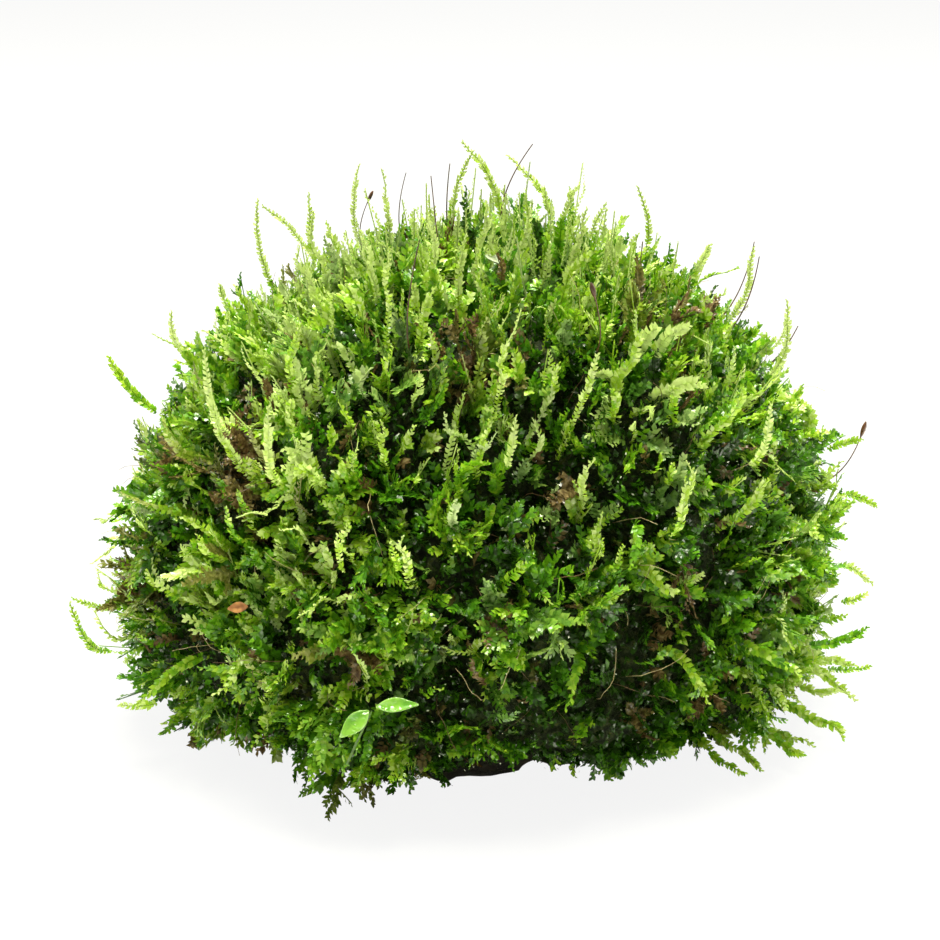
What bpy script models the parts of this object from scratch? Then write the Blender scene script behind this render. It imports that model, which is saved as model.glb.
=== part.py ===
"""A mound of java moss grown over a dark stone, with what grows in the moss and what has fallen on it.

Everything is in metres with +Z up. The origin is the middle of the stone's flat underside, and the front faces -Y.
A place on the mound is given by its direction from the mound's middle: an azimuth, counted from +X towards +Y so
that the front is at 270, and a rise above the horizontal, both in degrees.
"""

import math
import random

import bmesh
import bpy
from mathutils import Vector, noise

MM = 0.001
GAP = 0.3 * MM  # between pieces that touch
ROOT_LENGTH = 0.5 * MM  # the straight start of every stem

# The mound, measured to the moss between its tufts
MIDDLE = Vector((0, 0, 16 * MM))
MOUND_RADIUS = 53 * MM
MOUND_ABOVE = 57.5 * MM  # from the middle up to the crown
MOUND_BELOW = 20.5 * MM  # how soon the skirt tucks in below the middle
MOUND_SQUARENESS = 2.45  # 2 is an ellipsoid, and more gives a broader crown
SKIRT_TOP = 12 * MM  # below this nothing grows downwards
SKIRT_HEIGHT = 1.3 * MM  # the moss's lower edge above the ground
LUMP_HEIGHT = 5.2 * MM
LUMP_PITCH = 2.1  # lumps to a radius
MOSS_CELLS = 12  # faces along an edge of the cube that the mound is rounded from
CELL_JITTER = 0.27

# The tufts and sprigs that roughen the moss
TUFT_HEIGHT = (2.2 * MM, 4.4 * MM)
SPRIG_LENGTH = (7.0 * MM, 11.0 * MM)
SPRIG_SHARE = 0.42
SPRIG_BENDS = (-1.2, -0.8, 0.6, 1.0)  # some bow down and some turn up
CLEARING = 9  # degrees around the seedling and the scraps with no sprig
TIP_CLEARANCE = 0.5 * MM  # between the lowest tips and the ground

# The stone
STONE_RADIUS = 37 * MM
STONE_ABOVE = 41 * MM
STONE_BELOW = 36.5 * MM
STONE_SQUARENESS = 2.2
STONE_LUMPS = 2.2 * MM
STONE_CELLS = 9

# Clefts that part the stone's foot into lobes: azimuth, width and height
CLEFTS = (
    (267, 2.6 * MM, 6.5 * MM),
    (286, 4.2 * MM, 6.0 * MM),
    (311, 3.0 * MM, 5.0 * MM),
    (338, 4.5 * MM, 7.5 * MM),
    (10, 3.2 * MM, 5.5 * MM),
    (48, 5.0 * MM, 7.0 * MM),
    (82, 3.0 * MM, 5.0 * MM),
    (118, 4.4 * MM, 6.5 * MM),
    (155, 3.2 * MM, 5.5 * MM),
    (196, 4.8 * MM, 7.0 * MM),
    (231, 3.4 * MM, 5.0 * MM),
)
CLEFT_DEPTH = 9 * MM
CLEFT_TAPER = 0.65  # the width at a cleft's top as a share of its foot

# Where the moss stands higher over a bare lobe of the stone: azimuth, half width in degrees, rise of the edge
BARE_LOBES = ((277, 9.0, 5.2 * MM), (294, 4.0, 2.0 * MM), (33, 7.0, 3.0 * MM), (140, 6.0, 2.5 * MM))

# Cushions that swell out of the mound, and hollows where it sinks: azimuth, rise, half width in degrees, height
SWELLS = (
    (312, 46, 13, 4.5 * MM),
    (350, 22, 12, 3.0 * MM),
    (196, 24, 11, 4.0 * MM),
    (226, 38, 12, 3.0 * MM),
    (262, 60, 14, 2.5 * MM),
    (196, 0, 20, 3.5 * MM),
    (350, 0, 18, 2.0 * MM),
    (226, -32, 17, -9.5 * MM),
    (186, -16, 12, 3.0 * MM),
    (278, -13, 9, -9.5 * MM),
    (335, -20, 14, 7.0 * MM),
    (5, -18, 14, 5.0 * MM),
    (60, 30, 15, 4.0 * MM),
    (120, 15, 14, 3.5 * MM),
)

# Dark hollows between the cushions, where few fronds grow: azimuth, rise, half width in degrees, depth
HOLLOWS = (
    (284, 36, 9, 5.5 * MM),
    (262, 49, 8, 3.5 * MM),
    (302, 14, 10, 5.5 * MM),
    (266, 13, 9, 4.5 * MM),
    (212, 14, 9, 4.5 * MM),
    (330, 33, 8, 3.5 * MM),
    (238, 29, 7, 3.0 * MM),
    (313, -5, 9, 3.0 * MM),
    (20, 20, 9, 4.0 * MM),
    (75, 44, 10, 4.5 * MM),
    (108, 12, 9, 4.0 * MM),
    (152, 32, 9, 4.0 * MM),
    (178, 6, 8, 3.5 * MM),
)
HOLLOW_CORE = 0.6  # no tuft grows where a hollow has this share of its depth or more

# Long leafy shoots: azimuth and rise of the foot, how far the tip lies from it in mm, width over the leaves in mm
SHOOTS = (
    (181, 32, (-7, 0, 9), 2.2),
    (179, 38, (-1.5, 0, 7), 1.7),
    (170, 50, (-2.5, 0, 5.5), 1.8),
    (166, 54, (-2.5, 0, 15), 1.5),
    (161, 59, (-1, 1, 11), 1.4),
    (153, 63, (-8.5, 0, 10), 1.5),
    (141, 67, (0.5, 0, 12.5), 1.8),
    (110, 72, (4, 0, 13), 1.1),
    (79, 73, (-6, 0, 13), 1.5),
    (53, 70, (-7, 0, 12), 1.4),
    (47, 67, (3, 0, 7), 1.8),
    (25, 62, (-1.5, 0, 10.5), 1.5),
    (20, 58, (4, 0, 6), 2.2),
    (8, 48, (4, 0, 12.5), 1.5),
    (6, 43, (2.5, 0, 6), 1.5),
    (346, 39, (2, 0, 12), 1.5),
    (356, 25, (6, 0, 2), 1.6),
    (354, 18, (6.5, 0, -2), 1.6),
    (349, 14, (5.5, -1, -3), 1.6),
    (351, 8, (4.5, 0, 2), 1.6),
    (336, 5, (8.5, -2, 3.5), 2.2),
    (345, -2, (7, -1, 1), 2.0),
    (193, -1, (-6, 0, 8), 1.7),
    (189, 6, (-5, 0, 1.5), 1.7),
    (211, -7, (-5.5, -2, 0.5), 2.0),
    (224, 37, (-3, -2, 13), 1.6),
    (236, 35, (-1, -3, 11.5), 2.2),
    (225, 24, (-1.5, -3, 6.5), 1.6),
    (250, 28, (-0.5, -4, 7), 1.7),
    (271, 42, (1.5, -2, 8), 1.7),
    (289, 45, (2, -2, 8.5), 1.9),
    (307, 31, (1, -3, 9.5), 2.0),
    (322, 32, (2.5, -2, 10), 1.6),
    (262, 25, (-1, -4, 6), 1.6),
    (298, 30, (0, -5, -5), 2.2),
    (100, 45, (0, 3, 10), 1.7),
    (66, 22, (4, 6, 4), 1.9),
    (137, 15, (-5, 6, 4), 1.9),
)
SHOOT_STEPS = 8

# Spore stalks: azimuth and rise of the foot, how far the tip lies from it in mm, whether it holds a capsule
STALKS = (
    (147, 66, (1.5, 0, 8), True),
    (135, 70, (1, 0, 10), False),
    (115, 76, (0.5, 0, 10), False),
    (82, 76, (5, 0, 11.5), False),
    (253, 80, (-1, 0, 12), False),
    (250, 54, (1.5, -1, 16), False),
    (294, 54, (-1, -2, 9), True),
    (12, 50, (4.5, 0, 12), False),
    (3, 51, (4.5, 0, 12), False),
    (2, 39, (4, 0, 6), False),
    (357, 20, (6, 0, 9), True),
    (112, 40, (-1, 4, 11), True),
)
STALK_RADIUS = 0.17 * MM
STALK_STEPS = 6
CAPSULE_RADIUS = 0.4 * MM
CAPSULE_LENGTH = 1.5 * MM

# The seedling rooted low at the front: where it stands, and where its two leaves meet
SEEDLING_PLACE = (254, -3)
SEEDLING_FORK = Vector((-14, -57, 23)) * MM
SEEDLING_STEM_RADIUS = 0.28 * MM
LEAF_THICKNESS = 0.32 * MM

# Fallen leaf scraps: node name, azimuth and rise, length, width, turn on the moss in degrees
SCRAPS = (
    ("brown_leaf_scrap", 231, 17, 3.2 * MM, 1.7 * MM, 15),
    ("grey_leaf_scrap", 250, 78, 3.8 * MM, 2.6 * MM, 80),
    ("tan_husk", 173, 43, 4.0 * MM, 1.4 * MM, 170),
)
SCRAP_LIFT = 0.25 * MM  # its edges stand this far over the gap


def new_material(name, colour, roughness):
    material = bpy.data.materials.new(name)
    material.use_nodes = True
    shader = material.node_tree.nodes["Principled BSDF"]
    shader.inputs["Base Color"].default_value = (*colour, 1)
    shader.inputs["Roughness"].default_value = roughness
    shader.inputs["Metallic"].default_value = 0
    return material


def add_mesh_object(name, bm, material):
    mesh = bpy.data.meshes.new(name)
    bm.to_mesh(mesh)
    bm.free()
    mesh.materials.append(material)
    obj = bpy.data.objects.new(name, mesh)
    bpy.context.scene.collection.objects.link(obj)
    return obj


def hide_helper(obj):
    """A cutter shapes another piece and is no piece itself."""
    obj.hide_render = True
    obj.display_type = "WIRE"


def cut_away(obj, cutter):
    cut = obj.modifiers.new("cut_" + cutter.name, "BOOLEAN")
    cut.operation = "DIFFERENCE"
    cut.solver = "EXACT"
    cut.object = cutter
    hide_helper(cutter)


def towards(azimuth, rise):
    """The unit vector for an azimuth and a rise in degrees."""
    turn, tilt = math.radians(azimuth), math.radians(rise)
    return Vector((math.cos(turn) * math.cos(tilt), math.sin(turn) * math.cos(tilt), math.sin(tilt)))


def azimuth_of(direction):
    return math.degrees(math.atan2(direction.y, direction.x)) % 360


def turn_between(azimuth, other):
    """Degrees from one azimuth to another, the short way round."""
    return abs((azimuth - other + 180) % 360 - 180)


def rounded_distance(direction, radius, above, below, squareness):
    """From the middle of a squarish ellipsoid to its surface. Its lower half is a plain ellipsoid."""
    across = math.hypot(direction.x, direction.y) / radius
    power = squareness if direction.z > 0 else 2
    upright = direction.z / above if direction.z > 0 else -direction.z / below
    return (across**power + upright**power) ** (-1 / power)


def flattened(direction, distance, floor):
    """The point at that distance from the middle, or nearer where it would lie below the floor."""
    lowest = MIDDLE.z + direction.z * distance
    if lowest < floor:
        distance *= (MIDDLE.z - floor) / (MIDDLE.z - lowest)
    return MIDDLE + direction * distance


def hollows_at(direction):
    """Each hollow's share of its depth in a direction, from 1 at its middle to 0, and that depth."""
    for azimuth, rise, half_width, depth in HOLLOWS:
        apart = math.degrees(direction.angle(towards(azimuth, rise)))
        yield math.exp(-((apart / half_width) ** 2)), depth


def mound_point(direction):
    distance = rounded_distance(direction, MOUND_RADIUS, MOUND_ABOVE, MOUND_BELOW, MOUND_SQUARENESS)
    distance += LUMP_HEIGHT * noise.fractal(direction * LUMP_PITCH * 2, 0.8, 2.0, 3) * 0.8
    for azimuth, rise, half_width, height in SWELLS:
        apart = math.degrees(direction.angle(towards(azimuth, rise)))
        distance += height * math.exp(-((apart / half_width) ** 2))
    distance -= sum(share * depth for share, depth in hollows_at(direction))
    floor = SKIRT_HEIGHT
    if direction.z > -0.7:
        for azimuth, half_width, height in BARE_LOBES:
            floor += height * math.exp(-((turn_between(azimuth_of(direction), azimuth) / half_width) ** 4))
    return flattened(direction, distance, floor)


def stone_distance(direction):
    distance = rounded_distance(direction, STONE_RADIUS, STONE_ABOVE, STONE_BELOW, STONE_SQUARENESS)
    return distance + STONE_LUMPS * noise.fractal(direction * 3.1 + Vector((7, 3, 5)), 0.9, 2.0, 3)


def stone_point(direction):
    return flattened(direction, stone_distance(direction), 0)


def room_point(direction):
    """The stone's surface with the gap added, and its underside sunk so that the room is open below."""
    point = flattened(direction, stone_distance(direction) + GAP, 0)
    if point.z < GAP:
        point.z = -2 * MM
    return point


def round_mesh(cells, jitter, place, seed):
    """A cube of square cells rounded out, each corner moved to where place puts its direction."""
    chance = random.Random(seed)
    bm = bmesh.new()
    bmesh.ops.create_cube(bm, size=2)
    bmesh.ops.subdivide_edges(bm, edges=bm.edges, cuts=cells - 1, use_grid_fill=True)
    step = jitter * math.pi / 2 / cells
    for vert in bm.verts:
        even = Vector(math.tan(part * math.pi / 4) for part in vert.co)
        shift = Vector(chance.uniform(-step, step) for _ in range(3))
        vert.co = place((even.normalized() + shift).normalized())
    bmesh.ops.recalc_face_normals(bm, faces=bm.faces)
    return bm


def stone_mesh(place):
    """The stone or its room, split into triangles the same way so that one lies inside the other."""
    bm = round_mesh(STONE_CELLS, 0, place, seed=5)
    bmesh.ops.triangulate(bm, faces=bm.faces, quad_method="FIXED")
    return bm


def grow_face(bm, face, offset, scale):
    """Draws a face out by offset, scaled about its middle, and returns the new end face."""
    end = bmesh.ops.extrude_discrete_faces(bm, faces=[face])["faces"][0]
    middle = end.calc_center_median()
    for vert in end.verts:
        vert.co = middle + (vert.co - middle) * scale + offset
    return end


def thin_face(face, across, share):
    """Squeezes a face towards its middle along one direction, leaving that share of its thickness."""
    middle = face.calc_center_median()
    for vert in face.verts:
        vert.co -= across * (vert.co - middle).dot(across) * (1 - share)


def growing_direction(place, normal):
    """Moss grows outwards, upwards on the crown, and along the ground at the skirt."""
    way = normal + Vector((0, 0, 0.5 * (place.z - MIDDLE.z) / MOUND_ABOVE))
    if place.z < SKIRT_TOP:
        way.z = max(way.z, 0)
    return way.normalized()


def clear_of_ground(vert):
    vert.co.z = max(vert.co.z, TIP_CLEARANCE)


def raise_tuft(bm, face, chance):
    """A low pointed tuft over the whole face."""
    way = growing_direction(face.calc_center_median(), face.normal)
    height = chance.uniform(*TUFT_HEIGHT)
    tip = bmesh.ops.poke(bm, faces=[face])["verts"][0]
    tip.co += way * height + Vector(chance.uniform(-1, 1) for _ in range(3)) * height * 0.3
    clear_of_ground(tip)


def raise_sprig(bm, face, chance):
    """A tuft drawn out into a flat, bowed frond that tapers to its tip."""
    way = growing_direction(face.calc_center_median(), face.normal)
    length = chance.uniform(*SPRIG_LENGTH)
    bend = Vector(chance.uniform(-1, 1) for _ in range(3)) + Vector((0, 0, chance.choice(SPRIG_BENDS)))
    bend = (bend - way * bend.dot(way)) * length
    thin = way.cross(bend).cross(way).normalized()
    neck = grow_face(bm, face, way * length * 0.3, 0.62)
    thin_face(neck, thin, 0.5)
    waist = grow_face(bm, neck, way * length * 0.3 + bend * 0.1, 0.8)
    thin_face(waist, thin, 0.6)
    tip = bmesh.ops.poke(bm, faces=[waist])["verts"][0]
    tip.co += way * length * 0.35 + bend * 0.3
    clear_of_ground(tip)


def raise_stub(bm, face):
    """A flat-topped tuft that something stands on. Returns the middle of its top and the top's direction."""
    way = growing_direction(face.calc_center_median(), face.normal)
    top = grow_face(bm, face, way * TUFT_HEIGHT[0], 0.4)
    middle = top.calc_center_median()
    for vert in top.verts:
        vert.co -= way * (vert.co - middle).dot(way)
    return middle, way


def is_outside(face):
    """Whether moss grows from a face: not one of the stone's room, nor one that looks at the ground."""
    place = face.calc_center_median()
    if face.normal.dot(place - MIDDLE) < 0:
        return False
    low = place.z < 9 * MM
    return not low or (face.normal.z > -0.75 and math.hypot(place.x, place.y) > STONE_RADIUS + 1.5 * MM)


def planted_places():
    """The direction of every place on the mound where something stands or lies."""
    places = [(azimuth, rise) for azimuth, rise, *_ in SHOOTS]
    places += [(azimuth, rise) for azimuth, rise, *_ in STALKS]
    places += [(azimuth, rise) for _, azimuth, rise, *_ in SCRAPS]
    return [*places, SEEDLING_PLACE]


def hollow_mound(material):
    """The mound with the stone's room cut out of it from below."""
    mound = add_mesh_object("mound", round_mesh(MOSS_CELLS, CELL_JITTER, mound_point, seed=3), material)
    room = add_mesh_object("stone_room", stone_mesh(room_point), material)
    cut_away(mound, room)
    bm = bmesh.new()
    bm.from_object(mound, bpy.context.evaluated_depsgraph_get())
    for helper in (mound, room):
        bpy.data.objects.remove(helper)
    bm.normal_update()
    return bm


def make_moss_cushion(material):
    """The moss as one mat. Returns the stub at each planted place."""
    chance = random.Random(11)
    bm = hollow_mound(material)
    free = [face for face in bm.faces if is_outside(face)]
    stubs = {}
    for place in planted_places():
        way = towards(*place)
        face = max(free, key=lambda f: (f.calc_center_median() - MIDDLE).normalized().dot(way))
        free.remove(face)
        stubs[place] = face
    clearing = [towards(*SEEDLING_PLACE)] + [towards(azimuth, rise) for _, azimuth, rise, *_ in SCRAPS]
    sprigs, bottoms, blocked = [], set(), set(stubs.values())
    for face in free:
        way = (face.calc_center_median() - MIDDLE).normalized()
        if min(math.degrees(way.angle(place)) for place in clearing) < CLEARING:
            blocked.add(face)
        if max(share for share, _ in hollows_at(way)) > HOLLOW_CORE:
            bottoms.add(face)
    free = [face for face in free if face not in bottoms]
    for face in chance.sample(free, len(free)):
        beside = {other for edge in face.edges for other in edge.link_faces}
        if chance.random() < SPRIG_SHARE and not beside & blocked:
            sprigs.append(face)
            blocked.add(face)
    tufts = [face for face in free if face not in set(sprigs)]
    for face in tufts:
        raise_tuft(bm, face, chance)
    for face in sprigs:
        raise_sprig(bm, face, chance)
    stands = {place: raise_stub(bm, face) for place, face in stubs.items()}
    add_mesh_object("moss_cushion", bm, material)
    return stands


def make_stone(material):
    stone = add_mesh_object("stone", stone_mesh(stone_point), material)
    bm = bmesh.new()
    for azimuth, width, height in CLEFTS:
        way = towards(azimuth, 0)
        side = towards(azimuth + 90, 0) * width / 2
        reach = STONE_RADIUS + 6 * MM
        inner = way * (STONE_RADIUS - CLEFT_DEPTH)
        outer = way * reach
        below, above = Vector((0, 0, -2 * MM)), Vector((0, 0, height))
        lower, upper = [], []
        for end, across in ((inner, side), (inner, -side), (outer, -side), (outer, side)):
            lower.append(bm.verts.new(end + across + below))
            upper.append(bm.verts.new(end + across * CLEFT_TAPER + above))
        bm.faces.new(lower)
        bm.faces.new(upper)
        for i in range(4):
            bm.faces.new((lower[i], lower[(i + 1) % 4], upper[(i + 1) % 4], upper[i]))
    bmesh.ops.recalc_face_normals(bm, faces=bm.faces)
    cut_away(stone, add_mesh_object("stone_clefts", bm, material))


def bending_path(foot, way, reach, steps):
    """Points along a stem that leaves its foot along way and bends over to end at reach from the foot."""
    start = foot + way * ROOT_LENGTH
    turn = start + way * reach.length * 0.4
    end = foot + reach
    path = [foot]
    for i in range(steps):
        along = i / (steps - 1)
        path.append(start * (1 - along) ** 2 + turn * 2 * along * (1 - along) + end * along**2)
    return path


def add_stem(name, path, radii, material, resolution=0):
    """A closed tube along a path, with its own radius at each point."""
    curve = bpy.data.curves.new(name, "CURVE")
    curve.dimensions = "3D"
    curve.bevel_depth = 1.0
    curve.bevel_resolution = resolution
    curve.use_fill_caps = True
    spline = curve.splines.new("POLY")
    spline.points.add(len(path) - 1)
    for point, place, radius in zip(spline.points, path, radii):
        point.co = (*place, 1)
        point.radius = radius
    curve.materials.append(material)
    obj = bpy.data.objects.new(name, curve)
    bpy.context.scene.collection.objects.link(obj)
    return obj


def make_shoots(stands, material):
    """Slender stems whose leaves are read as a knobbly outline, wider and narrower by turns."""
    for number, (azimuth, rise, reach, width) in enumerate(SHOOTS, 1):
        middle, way = stands[azimuth, rise]
        path = bending_path(middle + way * GAP, way, Vector(reach) * MM, SHOOT_STEPS)
        radii = []
        for i in range(SHOOT_STEPS + 1):
            taper = 1 - 0.65 * i / SHOOT_STEPS
            knob = 1.0 if i % 2 else 0.62
            radii.append(width * MM / 2 * taper * knob)
        add_stem(f"shoot_{number:02d}", path, radii, material)


def make_stalks(stands, material):
    """Wiry stalks, some ending in a slim upright spore capsule."""
    for number, (azimuth, rise, reach, fertile) in enumerate(STALKS, 1):
        middle, way = stands[azimuth, rise]
        path = bending_path(middle + way * GAP, way, Vector(reach) * MM, STALK_STEPS)
        radii = [STALK_RADIUS] * (STALK_STEPS + 1)
        if fertile:
            tip_way = (path[-1] - path[-2]).normalized()
            path += [path[-1] + tip_way * CAPSULE_LENGTH * share for share in (0.3, 0.75, 1.0)]
            radii += [CAPSULE_RADIUS, CAPSULE_RADIUS * 0.9, CAPSULE_RADIUS * 0.3]
        add_stem(f"spore_stalk_{number:02d}", path, radii, material)


def leaf_mesh(base, along, up, length, width, cup, droop, steps=6):
    """A thin pointed oval leaf from its base, folded up by cup along its midrib and bent down by droop."""
    along = along.normalized()
    across = along.cross(up).normalized()
    up = across.cross(along)
    bm = bmesh.new()
    rows = []
    for i in range(steps + 1):
        share = i / steps
        half = width / 2 * max(math.sin(math.pi * min(share**0.85, 1)), 0.09)
        middle = base + along * length * share - up * droop * length * share**2
        fold = up * cup * half
        for thickness in (0, LEAF_THICKNESS):
            centre = middle + up * thickness
            rows.append([bm.verts.new(p) for p in (centre - across * half + fold, centre, centre + across * half + fold)])
    for i in range(steps):
        under, over, next_under, next_over = rows[2 * i : 2 * i + 4]
        for side in (0, 1):
            bm.faces.new((under[side], under[side + 1], next_under[side + 1], next_under[side]))
            bm.faces.new((over[side], next_over[side], next_over[side + 1], over[side + 1]))
        bm.faces.new((under[0], next_under[0], next_over[0], over[0]))
        bm.faces.new((under[2], over[2], next_over[2], next_under[2]))
    for under, over in (rows[:2], rows[-2:]):
        for side in (0, 1):
            bm.faces.new((under[side], under[side + 1], over[side + 1], over[side]))
    bmesh.ops.recalc_face_normals(bm, faces=bm.faces)
    return bm


def make_seedling(stands, material):
    """A young plant with a short bowed stem and its first two glossy leaves."""
    middle, way = stands[SEEDLING_PLACE]
    foot = middle + way * GAP
    path = bending_path(foot, way, SEEDLING_FORK - foot, 5)
    radii = [SEEDLING_STEM_RADIUS * (1 - 0.06 * i) for i in range(6)]
    add_stem("seedling_stem", path, radii, material)
    leaves = (
        ("seedling_leaf_left", Vector((-0.74, -0.3, -0.6)), 5.4 * MM, 2.7 * MM, 0.25, 0.10),
        ("seedling_leaf_right", Vector((0.95, -0.25, 0.2)), 5.9 * MM, 2.2 * MM, 0.35, 0.12),
    )
    for name, along, length, width, cup, droop in leaves:
        base = SEEDLING_FORK + along.normalized() * 2 * GAP + Vector((0, 0, GAP))
        face_way = Vector((-0.25 * along.x, -0.75, 0.65))
        add_mesh_object(name, leaf_mesh(base, along, face_way, length, width, cup, droop), material)


def make_scraps(stands, materials):
    """Dead leaves and a husk, each lying on a stub of the moss."""
    for name, azimuth, rise, length, width, turn in SCRAPS:
        middle, way = stands[azimuth, rise]
        side = way.cross(Vector((0, 0, 1))).normalized()
        other = way.cross(side)
        along = side * math.cos(math.radians(turn)) + other * math.sin(math.radians(turn))
        base = middle + way * (GAP + SCRAP_LIFT) - along * length / 2
        leaf = leaf_mesh(base, along, way, length, width, 0.3, 0.0)
        add_mesh_object(name, leaf, materials[name])


def main():
    for obj in list(bpy.data.objects):
        bpy.data.objects.remove(obj)
    moss_green = new_material("moss_green", (0.12, 0.25, 0.03), 0.5)
    shoot_green = new_material("shoot_green", (0.35, 0.52, 0.1), 0.45)
    seedling_green = new_material("seedling_green", (0.25, 0.55, 0.06), 0.25)
    stalk_brown = new_material("stalk_brown", (0.12, 0.05, 0.02), 0.4)
    dark_stone = new_material("dark_stone", (0.02, 0.018, 0.013), 0.35)
    scraps = {
        "brown_leaf_scrap": new_material("dead_leaf_brown", (0.35, 0.17, 0.05), 0.6),
        "grey_leaf_scrap": new_material("dead_leaf_grey", (0.3, 0.34, 0.22), 0.5),
        "tan_husk": new_material("husk_tan", (0.4, 0.3, 0.16), 0.6),
    }
    make_stone(dark_stone)
    stands = make_moss_cushion(moss_green)
    make_shoots(stands, shoot_green)
    make_stalks(stands, stalk_brown)
    make_seedling(stands, seedling_green)
    make_scraps(stands, scraps)


main()
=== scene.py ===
"""A mound of wet java moss on its dark stone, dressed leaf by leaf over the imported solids."""

import math
import random

import bmesh
import bpy
import numpy as np
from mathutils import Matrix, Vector, noise
from mathutils.bvhtree import BVHTree


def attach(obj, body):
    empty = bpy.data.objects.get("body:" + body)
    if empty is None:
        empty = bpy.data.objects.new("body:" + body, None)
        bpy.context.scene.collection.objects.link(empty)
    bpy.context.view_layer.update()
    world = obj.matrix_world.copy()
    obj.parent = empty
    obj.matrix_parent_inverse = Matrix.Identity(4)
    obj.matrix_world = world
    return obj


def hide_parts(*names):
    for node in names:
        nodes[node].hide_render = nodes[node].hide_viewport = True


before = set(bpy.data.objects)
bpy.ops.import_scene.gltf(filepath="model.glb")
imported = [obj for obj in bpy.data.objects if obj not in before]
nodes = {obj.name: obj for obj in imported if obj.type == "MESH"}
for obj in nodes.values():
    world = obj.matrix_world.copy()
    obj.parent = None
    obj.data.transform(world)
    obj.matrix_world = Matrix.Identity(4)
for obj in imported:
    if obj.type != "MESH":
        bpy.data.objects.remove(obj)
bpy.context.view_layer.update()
MM = 0.001


# The camera: straight in front of the mound and a little above it, with a long lens, as in the photograph.

CAMERA_RISE = math.radians(18)
CAMERA_DISTANCE = 350 * MM
CAMERA_AIM = Vector((-0.8, 0, 38.6)) * MM

camera_data = bpy.data.cameras.new("camera")
camera_data.lens = 85
camera_data.sensor_width = 36
camera_data.clip_start = 10 * MM
camera_data.clip_end = 20
camera = bpy.data.objects.new("camera", camera_data)
bpy.context.scene.collection.objects.link(camera)
camera_way = Vector((0, math.cos(CAMERA_RISE), -math.sin(CAMERA_RISE)))
camera.location = CAMERA_AIM - camera_way * CAMERA_DISTANCE
camera.rotation_mode = "QUATERNION"
camera.rotation_quaternion = camera_way.to_track_quat("-Z", "Y")
bpy.context.scene.camera = camera


# The stone: a dark, wet, rounded lump that the moss has grown over. Only its lobed foot shows, in the
# gaps under the moss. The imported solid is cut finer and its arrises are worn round.

STONE_CELL = 1.6 * MM
STONE_RELIEF = 0.5 * MM


def add_node(tree, kind, *wires, **settings):
    """Adds a node and fills its usable inputs in order: a socket is linked, a value is set and None is left."""
    made = tree.nodes.new(kind)
    for name, value in settings.items():
        setattr(made, name, value)
    usable = [socket for socket in made.inputs if socket.enabled]
    for socket, wire in zip(usable, wires):
        if isinstance(wire, bpy.types.NodeSocket):
            tree.links.new(wire, socket)
        elif wire is not None:
            socket.default_value = wire
    return made


def wired(tree, kind, *wires, **settings):
    """The first usable output of a new node."""
    return next(socket for socket in add_node(tree, kind, *wires, **settings).outputs if socket.enabled)


def reckon(tree, operation, *wires):
    return wired(tree, "ShaderNodeMath", *wires, operation=operation)


def ramp(tree, factor, *stops):
    """A colour ramp through (place, colour) stops."""
    made = add_node(tree, "ShaderNodeValToRGB", factor)
    elements = made.color_ramp.elements
    while len(elements) < len(stops):
        elements.new(0.5)
    for element, (place, colour) in zip(elements, stops):
        element.position = place
        element.color = (*colour, 1)
    return made.outputs["Color"]


def new_material(name):
    """A material with its tree, its Principled shader and an Object coordinate socket."""
    material = bpy.data.materials.new(name)
    material.use_nodes = True
    tree = material.node_tree
    shader = tree.nodes["Principled BSDF"]
    place = tree.nodes.new("ShaderNodeTexCoord").outputs["Object"]
    return material, tree, shader, place


def merged_copy(node):
    """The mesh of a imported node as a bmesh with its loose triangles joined."""
    bm = bmesh.new()
    bm.from_mesh(nodes[node].data)
    bmesh.ops.remove_doubles(bm, verts=bm.verts, dist=1e-6)
    return bm


def add_piece(name, mesh, material, slot, *replaced):
    """Puts a finished mesh in the scene as a piece of the one body."""
    if not mesh.materials:
        mesh.materials.append(material)
    piece = bpy.data.objects.new(name, mesh)
    bpy.context.scene.collection.objects.link(piece)
    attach(piece, "root")
    if replaced:
        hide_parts(*replaced)
    return piece


def evaluated_mesh(obj):
    """What an object's modifiers make of it, as a plain mesh. The object is removed."""
    made = bpy.data.meshes.new_from_object(obj.evaluated_get(bpy.context.evaluated_depsgraph_get()))
    bpy.data.objects.remove(obj)
    return made


def stone_finish():
    material, tree, shader, place = new_material("wet_dark_stone")
    mottle = wired(tree, "ShaderNodeTexNoise", place, 260.0, 6.0, 0.6)
    colour = ramp(
        tree, mottle, (0.3, (0.006, 0.006, 0.005)), (0.5, (0.02, 0.017, 0.011)), (0.72, (0.06, 0.046, 0.028))
    )
    tree.links.new(colour, shader.inputs["Base Color"])
    wet = wired(tree, "ShaderNodeMapRange", mottle, 0.35, 0.7, 0.16, 0.6)
    tree.links.new(wet, shader.inputs["Roughness"])
    pits = wired(tree, "ShaderNodeTexNoise", place, 900.0, 5.0, 0.65)
    bump = add_node(tree, "ShaderNodeBump")
    bump.inputs["Strength"].default_value = 0.7
    bump.inputs["Distance"].default_value = 0.25 * MM
    tree.links.new(pits, bump.inputs["Height"])
    tree.links.new(bump.outputs["Normal"], shader.inputs["Normal"])
    return material


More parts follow.
